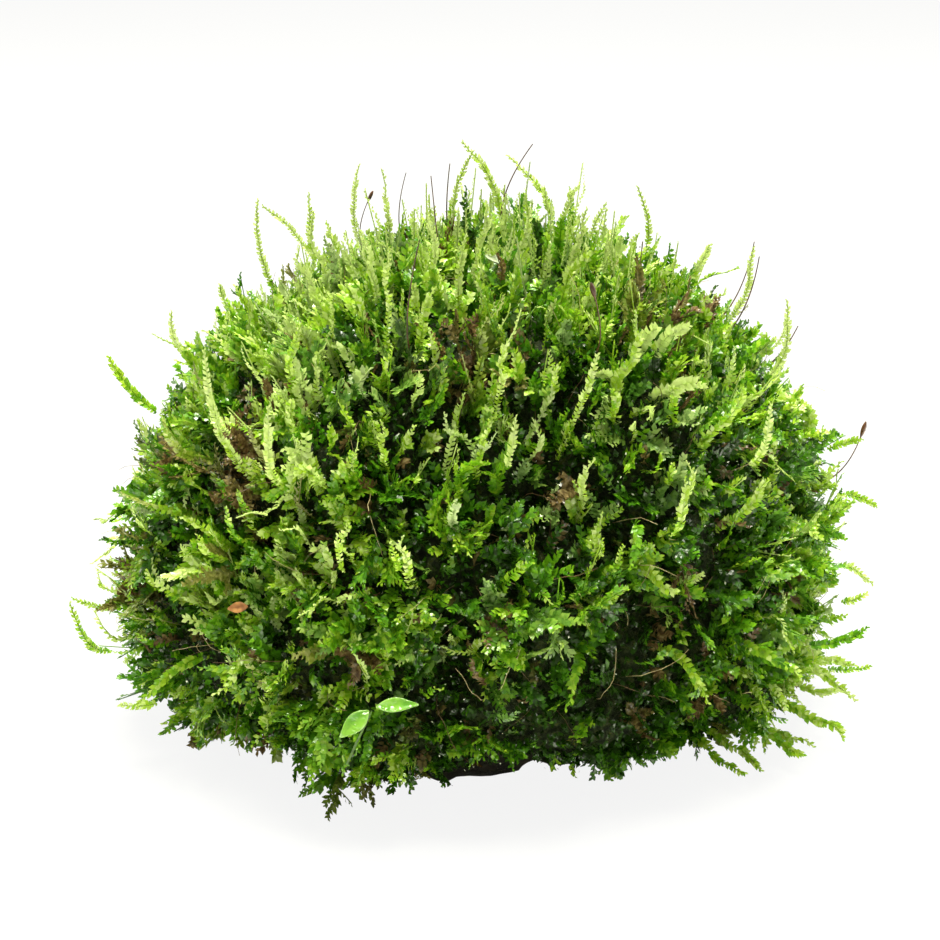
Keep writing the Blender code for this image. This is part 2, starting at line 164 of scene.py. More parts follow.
def worn_stone():
    bm = merged_copy("stone")
    mesh = bpy.data.meshes.new("stone_blank")
    bm.to_mesh(mesh)
    bm.free()
    blank = bpy.data.objects.new("stone_blank", mesh)
    bpy.context.scene.collection.objects.link(blank)
    remesh = blank.modifiers.new("cells", "REMESH")
    remesh.mode = "VOXEL"
    remesh.voxel_size = STONE_CELL
    wear = blank.modifiers.new("wear", "SMOOTH")
    wear.factor = 0.5
    wear.iterations = 3
    made = evaluated_mesh(blank)
    for vert in made.vertices:
        relief = noise.fractal(vert.co / (6 * MM), 0.9, 2.0, 4)
        if vert.co.z > 0.6 * MM:
            vert.co += vert.normal * STONE_RELIEF * (relief - 0.6)
    made.shade_smooth()
    return made


add_piece("stone_surface", worn_stone(), stone_finish(), "dark_stone", "stone")


# The heart of the mat: the dark tangle of old stems and wet leaves that the live fronds grow out of. Its
# near-black colour is partly the tangle's own and partly painted shade for the deep gaps. It is one surface with
# no leaves of its own, set a few millimetres inside the imported mat, and bare over the foot.

MIDDLE = Vector((0, 0, 16)) * MM
HEART_CELLS = 52
HEART_DEPTH = 6.0 * MM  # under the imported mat's mean surface
HEART_KNOTS = 1.5 * MM
STONE_BARE = 1.6 * MM  # how far a bare foot of the stone stands out of the heart

# Dark gaps between the fronds: azimuth and rise, half width in degrees, share of fronds left
GAPS = (
    (284, 36, 8, 0.25),
    (262, 49, 6, 0.35),
    (300, 12, 12, 0.2),
    (266, 13, 9, 0.25),
    (212, 14, 7, 0.3),
    (330, 33, 5, 0.3),
    (318, 36, 4, 0.4),
    (320, 72, 6, 0.4),
    (238, 29, 4, 0.4),
    (285, 2, 7, 0.35),
    (313, -5, 8, 0.35),
    (228, 2, 6, 0.5),
    (347, 4, 7, 0.35),
    (20, 20, 8, 0.3),
    (75, 44, 8, 0.35),
    (108, 12, 9, 0.4),
    (152, 32, 8, 0.35),
    (178, 6, 6, 0.4),
)
GAP_DEPTH = 1.2 * MM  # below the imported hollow

# The bare foot of the stone, which no frond hangs over: azimuth and rise, half width
FOOT = (277, -14, 9)

# Painted shade and painted light in the fronds' tint, along with darker and paler fronds: patches where the tint is
# lowered or raised. Azimuth and rise, half width, amount
PAINTED_SHADE_AND_LIGHT = (
    (292, 24, 16, -0.2),
    (290, 0, 20, -0.2),
    (262, -8, 16, -0.12),
    (254, 26, 13, 0.1),
    (205, 20, 22, 0.05),
    (352, 0, 20, 0.08),
    (328, 45, 18, -0.22),
    (300, 6, 14, -0.18),
    (345, 16, 14, 0.06),
    (257, 14, 12, 0.08),
    (214, -8, 12, 0.15),
    (120, 20, 30, -0.08),
)

# Dead brown patches: azimuth and rise, half width in degrees, strength
DEAD_PATCHES = (
    (222, 36, 7, 1.2),
    (268, 57, 5, 1.0),
    (322, 56, 5, 1.1),
    (197, 10, 5, 1.0),
    (238, 4, 6, 0.5),
    (268, -2, 5, 0.5),
    (249, -13, 7, 0.6),
    (40, 30, 7, 0.6),
    (120, 40, 7, 0.6),
)


def towards(azimuth, rise):
    """The unit vector for an azimuth and a rise in degrees."""
    turn, tilt = math.radians(azimuth), math.radians(rise)
    return Vector((math.cos(turn) * math.cos(tilt), math.sin(turn) * math.cos(tilt), math.sin(tilt)))


def nearness(ways, azimuth, rise, half_width):
    """How near each unit vector is to a place on the mound, from 1 at the place to 0."""
    apart = np.degrees(np.arccos(np.clip(ways @ np.array(towards(azimuth, rise)), -1, 1)))
    return np.exp(-((apart / half_width) ** 2))


def heart_grid():
    """A cube of square cells rounded to a unit sphere: its vertices, and its bmesh."""
    bm = bmesh.new()
    bmesh.ops.create_cube(bm, size=2)
    bmesh.ops.subdivide_edges(bm, edges=bm.edges, cuts=HEART_CELLS - 1, use_grid_fill=True)
    for vert in bm.verts:
        vert.co = Vector(math.tan(part * math.pi / 4) for part in vert.co).normalized()
    bmesh.ops.recalc_face_normals(bm, faces=bm.faces)
    return bm


def packed_distances(ways):
    """From the mound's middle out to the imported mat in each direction, and whether the stone lies bare there."""
    corners, faces, mat_faces = [], [], 0
    for node in ("moss_cushion", "stone"):
        mesh = nodes[node].data
        first = len(corners)
        corners += [vert.co for vert in mesh.vertices]
        faces += [[first + corner for corner in face.vertices] for face in mesh.polygons]
        mat_faces = mat_faces or len(faces)
    tree = BVHTree.FromPolygons(corners, faces)
    distances, bare = [], []
    for way in ways:
        way = Vector(way)
        start = MIDDLE + way * 150 * MM
        place, _, face, _ = tree.ray_cast(start, -way)
        distances.append((place - MIDDLE).length)
        bare.append(face >= mat_faces)
    return np.array(distances), np.array(bare)


def smoothed(values, edges, kept, rounds):
    """Values on a mesh averaged along its edges, except where they are kept."""
    values = values.copy()
    count = np.bincount(edges.ravel(), minlength=len(values))
    for _ in range(rounds):
        total = np.zeros(len(values))
        np.add.at(total, edges[:, 0], values[edges[:, 1]])
        np.add.at(total, edges[:, 1], values[edges[:, 0]])
        values = np.where(kept, values, (values + total / count) / 2)
    return values


def heart_mesh():
    """The heart. Its vertices say how thickly, how long and in what tone its fronds grow, and which are dead."""
    bm = heart_grid()
    mesh = bpy.data.meshes.new("moss_heart")
    bm.to_mesh(mesh)
    bm.free()
    ways = np.empty(len(mesh.vertices) * 3)
    mesh.vertices.foreach_get("co", ways)
    ways = ways.reshape(-1, 3)
    edges = np.empty(len(mesh.edges) * 2, int)
    mesh.edges.foreach_get("vertices", edges)
    edges = edges.reshape(-1, 2)
    distances, bare = packed_distances(ways)
    distances = smoothed(distances, edges, bare, 26)
    clothed = np.where(bare, 0.0, 1.0)
    cover = np.clip((smoothed(clothed, edges, bare, 14) - 0.75) / 0.2, 0, 1)
    reach = 0.45 + 0.55 * np.clip(smoothed(clothed, edges, bare, 40) * 2 - 1, 0, 1)
    heights = MIDDLE.z + ways[:, 2] * distances
    distances -= np.where(bare, STONE_BARE, HEART_DEPTH * (0.55 + 0.45 * np.clip((heights - 3 * MM) / (12 * MM), 0, 1)))
    reach *= 0.6 + 0.4 * np.clip((heights - 2 * MM) / (12 * MM), 0, 1)
    wilt, tone = np.zeros(len(ways)), np.zeros(len(ways))
    for azimuth, rise, half_width, share in GAPS:
        near = nearness(ways, azimuth, rise, half_width)
        distances -= near * GAP_DEPTH
        cover *= 1 - near * (1 - share)
        reach *= 1 - near * 0.25
    azimuth, rise, half_width = FOOT
    cover *= 1 - np.clip(nearness(ways, azimuth, rise, half_width) * 1.7, 0, 1)
    reach *= 1 - nearness(ways, azimuth, rise, half_width * 1.8) * 0.6
    # Painted shade and light: these patches lower or raise the tint of the fronds that grow there.
    for azimuth, rise, half_width, amount in PAINTED_SHADE_AND_LIGHT:
        tone += nearness(ways, azimuth, rise, half_width) * amount
    for azimuth, rise, half_width, strength in DEAD_PATCHES:
        wilt = np.maximum(wilt, nearness(ways, azimuth, rise, half_width) * strength)
    knots = np.array([noise.fractal(Vector(way) * 9, 0.8, 2.1, 4) for way in ways])
    distances += np.where(bare, 0, knots * HEART_KNOTS)
    places = np.array(MIDDLE) + ways * distances[:, None]
    places[:, 2] = np.maximum(places[:, 2], 1.0 * MM)
    cover *= np.clip((places[:, 2] - 3.5 * MM) / (3 * MM), 0, 1)
    mesh.vertices.foreach_set("co", places.ravel())
    for name, values in (("cover", cover), ("reach", reach), ("tone", tone), ("wilt", wilt)):
        mesh.attributes.new(name, "FLOAT", "POINT").data.foreach_set("value", values)
    mesh.update()
    mesh.shade_smooth()
    return mesh


def heart_finish():
    """Near black, partly the tangle's own colour and partly painted shade for the deep gaps, with brown and green
    flecks, and a wet film that glints on the knots.
    """
    material, tree, shader, place = new_material("wet_moss_heart")
    flecks = wired(tree, "ShaderNodeTexNoise", place, 900.0, 4.0, 0.7)
    # Painted shade in part: the near-black stops stand for the shade deep in the gaps between the fronds.
    colour = ramp(
        tree, flecks, (0.35, (0.003, 0.005, 0.001)), (0.52, (0.014, 0.026, 0.003)), (0.7, (0.07, 0.085, 0.018))
    )
    tree.links.new(colour, shader.inputs["Base Color"])
    tree.links.new(wired(tree, "ShaderNodeMapRange", flecks, 0.5, 0.62, 0.85, 0.15), shader.inputs["Roughness"])
    shader.inputs["Specular IOR Level"].default_value = 0.25
    tangle = wired(tree, "ShaderNodeTexNoise", place, 700.0, 6.0, 0.7)
    bump = add_node(tree, "ShaderNodeBump")
    bump.inputs["Strength"].default_value = 1.0
    bump.inputs["Distance"].default_value = 1.2 * MM
    tree.links.new(tangle, bump.inputs["Height"])
    tree.links.new(bump.outputs["Normal"], shader.inputs["Normal"])
    return material


heart = heart_mesh()
add_piece("moss_heart", heart, heart_finish(), "moss_green", "moss_cushion")


# The fronds: creeping stems with two ranks of small overlapping leaves, rooted in the heart. Each is drawn from
# its root along a bowed path. Young tips are pale yellow-green, old ones are dark, and dead ones are tan.

LEAF_OUTLINE = ((-0.1, -0.16, 0.0), (0.5, -0.32, 0.1), (1.0, 0.0, -0.06), (0.5, 0.32, 0.1), (-0.1, 0.16, 0.0))
LEAF_ANGLE_LOW, LEAF_ANGLE_HIGH = math.radians(66), math.radians(34)  # to the stem, at its foot and its tip
LOWEST_LEAF = 0.25 * MM  # nothing hangs lower than this above the ground


def vectors(tree, operation, *wires):
    return wired(tree, "ShaderNodeVectorMath", *wires, operation=operation)


def unit(tree, *added):
    """The unit vector of a sum of vectors."""
    total = added[0]
    for vector in added[1:]:
        total = vectors(tree, "ADD", total, vector)
    return vectors(tree, "NORMALIZE", total)


def scaled(tree, vector, factor):
    return vectors(tree, "SCALE", vector, factor)


def chance(tree, low, high, seed):
    """A random number or vector between two limits, one for each point."""
    kind = "FLOAT_VECTOR" if isinstance(low, tuple) else "FLOAT"
    return wired(tree, "FunctionNodeRandomValue", low, high, None, seed, data_type=kind)


def any_way(tree, seed):
    return chance(tree, (-1, -1, -1), (1, 1, 1), seed)


def read(tree, name, kind="FLOAT"):
    return wired(tree, "GeometryNodeInputNamedAttribute", name, data_type=kind)


def store(tree, geometry, name, value, kind="FLOAT", domain="POINT"):
    return wired(
        tree, "GeometryNodeStoreNamedAttribute", geometry, None, name, value, data_type=kind, domain=domain
    )


def new_tree(name, *inputs):
    """A geometry tree with a Geometry input and output and the named (name, socket type, value) inputs."""
    tree = bpy.data.node_groups.new(name, "GeometryNodeTree")
    tree.interface.new_socket("Geometry", in_out="INPUT", socket_type="NodeSocketGeometry")
    tree.interface.new_socket("Geometry", in_out="OUTPUT", socket_type="NodeSocketGeometry")
    for label, kind, value in inputs:
        socket = tree.interface.new_socket(label, in_out="INPUT", socket_type=kind)
        if value is not None:
            socket.default_value = value
    return tree, tree.nodes.new("NodeGroupInput").outputs, tree.nodes.new("NodeGroupOutput").inputs[0]


def grow(obj, tree, **values):
    """Adds a geometry tree to an object and sets its inputs by their names, with _ for a space."""
    modifier = obj.modifiers.new(tree.name, "NODES")
    modifier.node_group = tree
    for item in tree.interface.items_tree:
        label = item.name.lower().replace(" ", "_")
        if item.in_out == "INPUT" and label in values:
            modifier[item.identifier] = values[label]


def along_path(tree, along, wander):
    """How far a frond has come from its root at a share of its length, with a slow drift from side to side."""
    start, finish = (read(tree, name, "FLOAT_VECTOR") for name in ("start", "finish"))
    length = read(tree, "length")
    squared = reckon(tree, "MULTIPLY", along, along)
    early = reckon(tree, "MULTIPLY", length, reckon(tree, "MULTIPLY_ADD", squared, -0.5, along))
    late = reckon(tree, "MULTIPLY", length, reckon(tree, "MULTIPLY", squared, 0.5))
    offset = vectors(tree, "ADD", scaled(tree, start, early), scaled(tree, finish, late))
    drift = vectors(tree, "ADD", wired(tree, "GeometryNodeInputPosition"), offset)
    drift = add_node(tree, "ShaderNodeTexNoise", drift, 190.0, 1.0).outputs["Color"]
    drift = vectors(tree, "SUBTRACT", drift, (0.5, 0.5, 0.5))
    drift = scaled(tree, drift, reckon(tree, "MULTIPLY", reckon(tree, "MULTIPLY", along, wander), 2))
    return vectors(tree, "ADD", offset, drift)


def frond_axes(tree, along):
    """The way ahead on a frond's path, the way to its side and the way that its upper face looks."""
    start, finish, way = (read(tree, name, "FLOAT_VECTOR") for name in ("start", "finish", "way"))
    ahead = unit(tree, scaled(tree, start, reckon(tree, "SUBTRACT", 1, along)), scaled(tree, finish, along))
    side = vectors(tree, "NORMALIZE", vectors(tree, "CROSS_PRODUCT", ahead, way))
    return ahead, side, vectors(tree, "CROSS_PRODUCT", side, ahead)


def rooting_tree():
    """Scatters roots over one sector of the heart and gives each the facts that its frond grows from."""
    tree, given, result = new_tree(
        "frond_roots",
        ("Roots per Square Metre", "NodeSocketFloat", 400000.0),
        ("Seed", "NodeSocketInt", 1),
        ("Sector", "NodeSocketInt", 0),
        ("Sectors", "NodeSocketInt", 1),
        ("Shortest", "NodeSocketFloat", 0.006),
        ("Longest", "NodeSocketFloat", 0.012),
        ("Straggle", "NodeSocketFloat", 0.7),
        ("Flow", "NodeSocketFloat", 4.0),
        ("Hang", "NodeSocketFloat", -1.0),
        ("Reach Up", "NodeSocketFloat", 1.0),
        ("Lowest Height", "NodeSocketFloat", -1.0),
        ("Palest", "NodeSocketFloat", 0.8),
        ("Dead Share", "NodeSocketFloat", 0.03),
        ("Darkest", "NodeSocketFloat", 0.1),
    )
    place = wired(tree, "GeometryNodeInputPosition")
    parts = add_node(tree, "ShaderNodeSeparateXYZ", place).outputs
    turn = reckon(tree, "ARCTAN2", parts["Y"], parts["X"])
    turn = reckon(tree, "MULTIPLY_ADD", turn, 1 / math.tau, 0.5)
    sector = reckon(tree, "FLOOR", reckon(tree, "MULTIPLY", turn, given["Sectors"]))
    sector = reckon(tree, "MINIMUM", sector, reckon(tree, "SUBTRACT", given["Sectors"], 1))
    height = wired(tree, "ShaderNodeMapRange", parts["Z"], 16 * MM, 74 * MM, 0.0, 1.0, clamp=False)
    chosen = wired(tree, "FunctionNodeCompare", sector, given["Sector"], 0.5, data_type="FLOAT", operation="EQUAL")
    high = wired(tree, "FunctionNodeCompare", height, given["Lowest Height"], data_type="FLOAT")
    chosen = wired(tree, "FunctionNodeBooleanMath", chosen, high, operation="AND")
    density = reckon(tree, "MULTIPLY", read(tree, "cover"), given["Roots per Square Metre"])
    scattered = add_node(
        tree, "GeometryNodeDistributePointsOnFaces", given["Geometry"], chosen, density, given["Seed"]
    ).outputs
    points, out = scattered["Points"], scattered["Normal"]

    start = unit(tree, out, scaled(tree, any_way(tree, 11), 0.55), (0, 0, 0.12))
    flow = add_node(tree, "ShaderNodeTexNoise", place, 75.0, 1.0).outputs["Color"]
    flow = scaled(tree, vectors(tree, "SUBTRACT", flow, (0.5, 0.5, 0.5)), given["Flow"])
    lift = chance(tree, given["Hang"], given["Reach Up"], 12)
    lift = reckon(tree, "MULTIPLY_ADD", height, 0.75, lift)
    propped = wired(tree, "ShaderNodeMapRange", parts["Z"], 9 * MM, 26 * MM, 0.1, -1.6)
    lift = reckon(tree, "MAXIMUM", lift, propped)
    lift = reckon(tree, "MAXIMUM", lift, wired(tree, "ShaderNodeMapRange", read(tree, "reach"), 0.5, 0.95, 0.7, -1.6))
    upright = wired(tree, "ShaderNodeCombineXYZ", 0, 0, lift)
    straggle = scaled(tree, any_way(tree, 13), given["Straggle"])
    finish = unit(tree, scaled(tree, out, 0.5), straggle, upright, flow)
    way = unit(tree, out, scaled(tree, any_way(tree, 14), 0.65), (0, 0, 0.35))
    clump = add_node(tree, "ShaderNodeTexNoise", place, 110.0, 2.0).outputs[0]
    length = chance(tree, given["Shortest"], given["Longest"], 15)
    length = reckon(tree, "MULTIPLY", length, wired(tree, "ShaderNodeMapRange", clump, 0.3, 0.7, 0.6, 1.25))
    length = reckon(tree, "MULTIPLY", length, read(tree, "reach"))
    hue = add_node(tree, "ShaderNodeTexNoise", place, 60.0, 3.0).outputs[0]
    hue = wired(tree, "ShaderNodeMapRange", hue, 0.35, 0.65, -0.25, 0.25)
    tint = reckon(tree, "ADD", chance(tree, given["Darkest"], given["Palest"], 16), hue)
    # Fronds rooted higher up get a paler tint: painted light where the overhead light falls on the top of the mound.
    # The tone attribute adds the painted shade and light of the patches.
    tint = reckon(tree, "ADD", reckon(tree, "MULTIPLY_ADD", height, 0.12, tint), read(tree, "tone"))
    fade = add_node(tree, "ShaderNodeTexNoise", vectors(tree, "ADD", place, (1, 2, 3)), 70.0, 2.0).outputs[0]
    fade = reckon(tree, "ADD", fade, chance(tree, -0.3, 0.3, 17))
    fade = wired(tree, "ShaderNodeMapRange", fade, 0.6, 0.95, 0.0, -1.0)
    wilt = reckon(tree, "MULTIPLY", read(tree, "wilt"), chance(tree, 0.5, 1.3, 18))
    wilt = wired(tree, "ShaderNodeMix", wilt, fade, 1.0)
    dead = reckon(tree, "LESS_THAN", chance(tree, 0.0, 1.0, 20), given["Dead Share"])
    wilt = wired(tree, "ShaderNodeMix", dead, wilt, chance(tree, 0.4, 1.0, 26))
    for name, value in (("start", start), ("finish", finish), ("way", way)):
        points = store(tree, points, name, value, "FLOAT_VECTOR")
    leaf = chance(tree, 0.8, 1.25, 19)
    for name, value in (("length", length), ("tint", tint), ("wilt", wilt), ("leaf", leaf)):
        points = store(tree, points, name, value)
    points = store(tree, points, "frond", wired(tree, "GeometryNodeInputIndex"), "INT")
    tree.links.new(points, result)
    return tree


def branching_tree():
    """Adds side branches to the roots' fronds, left and right by turns, as more roots part way up them."""
    tree, given, result = new_tree(
        "side_branches",
        ("Branches", "NodeSocketInt", 3),
        ("Wander", "NodeSocketFloat", 0.0016),
        ("Shortest Branch", "NodeSocketFloat", 0.0022),
    )
    doubled = add_node(
        tree, "GeometryNodeDuplicateElements", given["Geometry"], None, given["Branches"], domain="POINT"
    )
    points, number = doubled.outputs
    along = reckon(tree, "ADD", reckon(tree, "MULTIPLY", number, 0.2), chance(tree, 0.12, 0.32, 31))
    ahead, side, face = frond_axes(tree, along)
    hand = reckon(tree, "MULTIPLY_ADD", reckon(tree, "FLOORED_MODULO", number, 2), 2, -1)
    outward = scaled(tree, side, reckon(tree, "MULTIPLY", hand, chance(tree, 0.6, 1.3, 32)))
    start = unit(tree, ahead, outward, scaled(tree, face, chance(tree, -0.3, 0.4, 33)))
    finish = unit(tree, start, scaled(tree, ahead, 0.5), scaled(tree, any_way(tree, 34), 0.4))
    left = reckon(tree, "SUBTRACT", 1.05, along)
    length = reckon(tree, "MULTIPLY", read(tree, "length"), reckon(tree, "MULTIPLY", left, chance(tree, 0.4, 0.85, 35)))
    offset = along_path(tree, along, given["Wander"])
    points = wired(tree, "GeometryNodeSetPosition", points, None, None, offset)
    tint = reckon(tree, "ADD", read(tree, "tint"), 0.06)
    leaf = reckon(tree, "MULTIPLY", read(tree, "leaf"), 0.88)
    for name, value in (("branch_start", start), ("branch_finish", finish)):
        points = store(tree, points, name, value, "FLOAT_VECTOR")
    for name, value in (("length", length), ("tint", tint), ("leaf", leaf)):
        points = store(tree, points, name, value)
    for name in ("start", "finish"):
        points = store(tree, points, name, read(tree, "branch_" + name, "FLOAT_VECTOR"), "FLOAT_VECTOR")
        points = wired(tree, "GeometryNodeRemoveAttribute", points, "branch_" + name)
    stunted = wired(
        tree, "FunctionNodeCompare", read(tree, "length"), given["Shortest Branch"], operation="LESS_THAN"
    )
    points = wired(tree, "GeometryNodeDeleteGeometry", points, stunted, domain="POINT")
    joined = tree.nodes.new("GeometryNodeJoinGeometry")
    for part in (points, given["Geometry"]):
        tree.links.new(part, joined.inputs[0])
    numbered = store(tree, joined.outputs[0], "frond", wired(tree, "GeometryNodeInputIndex"), "INT")
    tree.links.new(numbered, result)
    return tree


def leafing_tree():
    """Draws each root's stem and sets leaves along it, left and right by turns."""
    tree, given, result = new_tree(
        "leafy_stems",
        ("Leaf", "NodeSocketObject", None),
        ("Leaf Length", "NodeSocketFloat", 0.0012),
        ("Leaf Spacing", "NodeSocketFloat", 0.00036),
        ("Stem Radius", "NodeSocketFloat", 0.0001),
        ("Stem Points", "NodeSocketInt", 3),
        ("Spread", "NodeSocketFloat", 1.0),
        ("Wander", "NodeSocketFloat", 0.0016),
        ("Material", "NodeSocketMaterial", None),
    )
    count = reckon(tree, "FLOOR", reckon(tree, "DIVIDE", read(tree, "length"), given["Leaf Spacing"]))
    count = reckon(tree, "MAXIMUM", count, 5)
    doubled = add_node(tree, "GeometryNodeDuplicateElements", given["Geometry"], None, count, domain="POINT")
    points, number = doubled.outputs
    along = reckon(tree, "DIVIDE", reckon(tree, "ADD", number, 0.5), count)
    offset = along_path(tree, along, given["Wander"])
    points = wired(tree, "GeometryNodeSetPosition", points, None, None, offset)
    points = store(tree, points, "along", along)
    points = store(tree, points, "tint", reckon(tree, "ADD", read(tree, "tint"), chance(tree, -0.19, 0.19, 24)))

    ahead, side, face = frond_axes(tree, along)
    rank = reckon(tree, "MULTIPLY_ADD", reckon(tree, "FLOORED_MODULO", number, 2), 2, -1)
    angle = wired(tree, "ShaderNodeMapRange", along, 0.0, 1.0, LEAF_ANGLE_LOW, LEAF_ANGLE_HIGH)
    angle = reckon(tree, "MULTIPLY", angle, given["Spread"])
    outward = scaled(tree, side, reckon(tree, "MULTIPLY", rank, reckon(tree, "SINE", angle)))
    leaf_way = unit(
        tree,
        scaled(tree, ahead, reckon(tree, "COSINE", angle)),
        outward,
        scaled(tree, face, chance(tree, -0.15, 0.35, 21)),
        scaled(tree, any_way(tree, 25), 0.14),
    )
    leaf_face = unit(tree, face, scaled(tree, any_way(tree, 22), 0.4))
    facing = wired(tree, "FunctionNodeAxesToRotation", leaf_way, leaf_face, primary_axis="X", secondary_axis="Z")
    swell = reckon(tree, "MINIMUM", reckon(tree, "MULTIPLY_ADD", along, 1.6, 0.6), 1)
    taper = reckon(tree, "MINIMUM", reckon(tree, "MULTIPLY_ADD", along, -2.6, 3.05), 1)
    size = reckon(tree, "MULTIPLY", reckon(tree, "MULTIPLY", swell, taper), chance(tree, 0.75, 1.2, 23))
    size = reckon(tree, "MULTIPLY", size, reckon(tree, "MULTIPLY", read(tree, "leaf"), given["Leaf Length"]))
    blade = add_node(tree, "GeometryNodeObjectInfo", given["Leaf"]).outputs["Geometry"]
    leaves = wired(tree, "GeometryNodeInstanceOnPoints", points, None, blade, None, None, facing, size)
    for name in ("start", "finish", "way", "length", "leaf", "frond"):
        leaves = wired(tree, "GeometryNodeRemoveAttribute", leaves, name)
    leaves = wired(tree, "GeometryNodeRealizeInstances", leaves)

    stems = wired(tree, "GeometryNodePointsToCurves", points, read(tree, "frond", "INT"), along)
    stems = wired(tree, "GeometryNodeResampleCurve", stems, None, given["Stem Points"])
    thinning = wired(tree, "ShaderNodeMapRange", wired(tree, "GeometryNodeSplineParameter"), 0.0, 1.0, 1.0, 0.4)
    stems = wired(tree, "GeometryNodeSetCurveRadius", stems, None, thinning)
    ring = wired(tree, "GeometryNodeCurvePrimitiveCircle", 3, given["Stem Radius"])
    stems = wired(tree, "GeometryNodeCurveToMesh", stems, ring)
    for name in ("start", "finish", "way", "length", "leaf", "frond"):
        stems = wired(tree, "GeometryNodeRemoveAttribute", stems, name)
    joined = tree.nodes.new("GeometryNodeJoinGeometry")
    for part in (stems, leaves):
        tree.links.new(part, joined.inputs[0])
    parts = add_node(tree, "ShaderNodeSeparateXYZ", wired(tree, "GeometryNodeInputPosition")).outputs
    raised = reckon(tree, "MAXIMUM", parts["Z"], LOWEST_LEAF)
    raised = wired(tree, "ShaderNodeCombineXYZ", parts["X"], parts["Y"], raised)
    moss = wired(tree, "GeometryNodeSetPosition", joined.outputs[0], None, raised)
    moss = wired(tree, "GeometryNodeSetShadeSmooth", moss)
    tree.links.new(wired(tree, "GeometryNodeSetMaterial", moss, None, given["Material"]), result)
    return tree


def strewing_tree():
    """Strews single leaves over the heart, each tilted its own way, for the dark wet depth between the fronds."""
    tree, given, result = new_tree(
        "strewn_leaves",
        ("Leaf", "NodeSocketObject", None),
        ("Leaf Length", "NodeSocketFloat", 0.0012),
        ("Leaves per Square Metre", "NodeSocketFloat", 800000.0),
        ("Highest", "NodeSocketFloat", 0.0012),
        ("Material", "NodeSocketMaterial", None),
    )
    bared = reckon(tree, "MINIMUM", reckon(tree, "MULTIPLY", read(tree, "cover"), 4), 1)
    density = reckon(tree, "MULTIPLY", bared, given["Leaves per Square Metre"])
    scattered = add_node(tree, "GeometryNodeDistributePointsOnFaces", given["Geometry"], None, density, 5).outputs
    points, out = scattered["Points"], scattered["Normal"]
    leaf_way = unit(tree, scaled(tree, out, 0.5), any_way(tree, 41))
    leaf_face = unit(tree, out, any_way(tree, 42))
    # The tone attribute brings the patches' painted shade and light to these strewn leaves too.
    points = store(tree, points, "tint", reckon(tree, "ADD", chance(tree, -0.3, 0.3, 43), read(tree, "tone")))
    points = store(tree, points, "along", 0.0)
    points = wired(tree, "GeometryNodeSetPosition", points, None, None, scaled(tree, out, chance(tree, 0.0, given["Highest"], 45)))
    facing = wired(tree, "FunctionNodeAxesToRotation", leaf_way, leaf_face, primary_axis="X", secondary_axis="Z")
    size = reckon(tree, "MULTIPLY", chance(tree, 0.7, 1.3, 44), given["Leaf Length"])
    blade = add_node(tree, "GeometryNodeObjectInfo", given["Leaf"]).outputs["Geometry"]
    leaves = wired(tree, "GeometryNodeInstanceOnPoints", points, None, blade, None, None, facing, size)
    leaves = wired(tree, "GeometryNodeRealizeInstances", leaves)
    tree.links.new(wired(tree, "GeometryNodeSetMaterial", leaves, None, given["Material"]), result)
    return tree


def leaf_blank():
    """One pointed, slightly arched leaf, a unit long along +X. It is only an input of the trees."""
    mesh = bpy.data.meshes.new("leaf_blank")
    mesh.from_pydata(LEAF_OUTLINE, [], [(0, 1, 3, 4), (1, 2, 3)])
    return bpy.data.objects.new("leaf_blank", mesh)


def leaf_colours():
    """The group that turns a frond's tint, its wilting and the place along it into a leaf colour and roughness."""
    tree = bpy.data.node_groups.new("leaf_colours", "ShaderNodeTree")
    for name in ("Tint", "Wilt", "Along"):
        tree.interface.new_socket(name, in_out="INPUT", socket_type="NodeSocketFloat")
    tree.interface.new_socket("Place", in_out="INPUT", socket_type="NodeSocketVector")
    tree.interface.new_socket("Colour", in_out="OUTPUT", socket_type="NodeSocketColor")
    tree.interface.new_socket("Roughness", in_out="OUTPUT", socket_type="NodeSocketFloat")
    given = tree.nodes.new("NodeGroupInput").outputs
    grain = wired(tree, "ShaderNodeTexNoise", given["Place"], 1500.0, 2.0)
    young = reckon(tree, "MULTIPLY_ADD", given["Along"], 0.22, given["Tint"])
    young = reckon(tree, "ADD", young, wired(tree, "ShaderNodeMapRange", grain, 0.3, 0.7, -0.12, 0.06))
    green = ramp(
        tree,
        young,
        (0.0, (0.013, 0.045, 0.001)),
        (0.3, (0.052, 0.195, 0.004)),
        (0.55, (0.165, 0.4, 0.009)),
        (0.8, (0.38, 0.58, 0.03)),
        (1.0, (0.6, 0.74, 0.24)),
    )
    faded = ramp(tree, young, (0.1, (0.06, 0.11, 0.028)), (0.5, (0.22, 0.32, 0.11)), (0.9, (0.44, 0.55, 0.26)))
    faintness = wired(tree, "ShaderNodeMapRange", given["Wilt"], -0.25, -0.9, 0.0, 0.85)
    green = add_node(tree, "ShaderNodeMix", faintness, green, faded, data_type="RGBA").outputs["Result"]
    dead = ramp(tree, grain, (0.35, (0.07, 0.035, 0.012)), (0.55, (0.2, 0.13, 0.045)), (0.75, (0.38, 0.29, 0.13)))
    share = wired(tree, "ShaderNodeMapRange", given["Wilt"], 0.3, 0.75, 0.0, 1.0)
    colour = wired(tree, "ShaderNodeMix", share, green, dead, data_type="RGBA")
    rough = wired(tree, "ShaderNodeMapRange", grain, 0.35, 0.65, 0.22, 0.5)
    out = tree.nodes.new("NodeGroupOutput").inputs
    tree.links.new(colour, out["Colour"])
    tree.links.new(reckon(tree, "MULTIPLY_ADD", share, 0.25, rough), out["Roughness"])
    return tree


LEAF_COLOURS = leaf_colours()


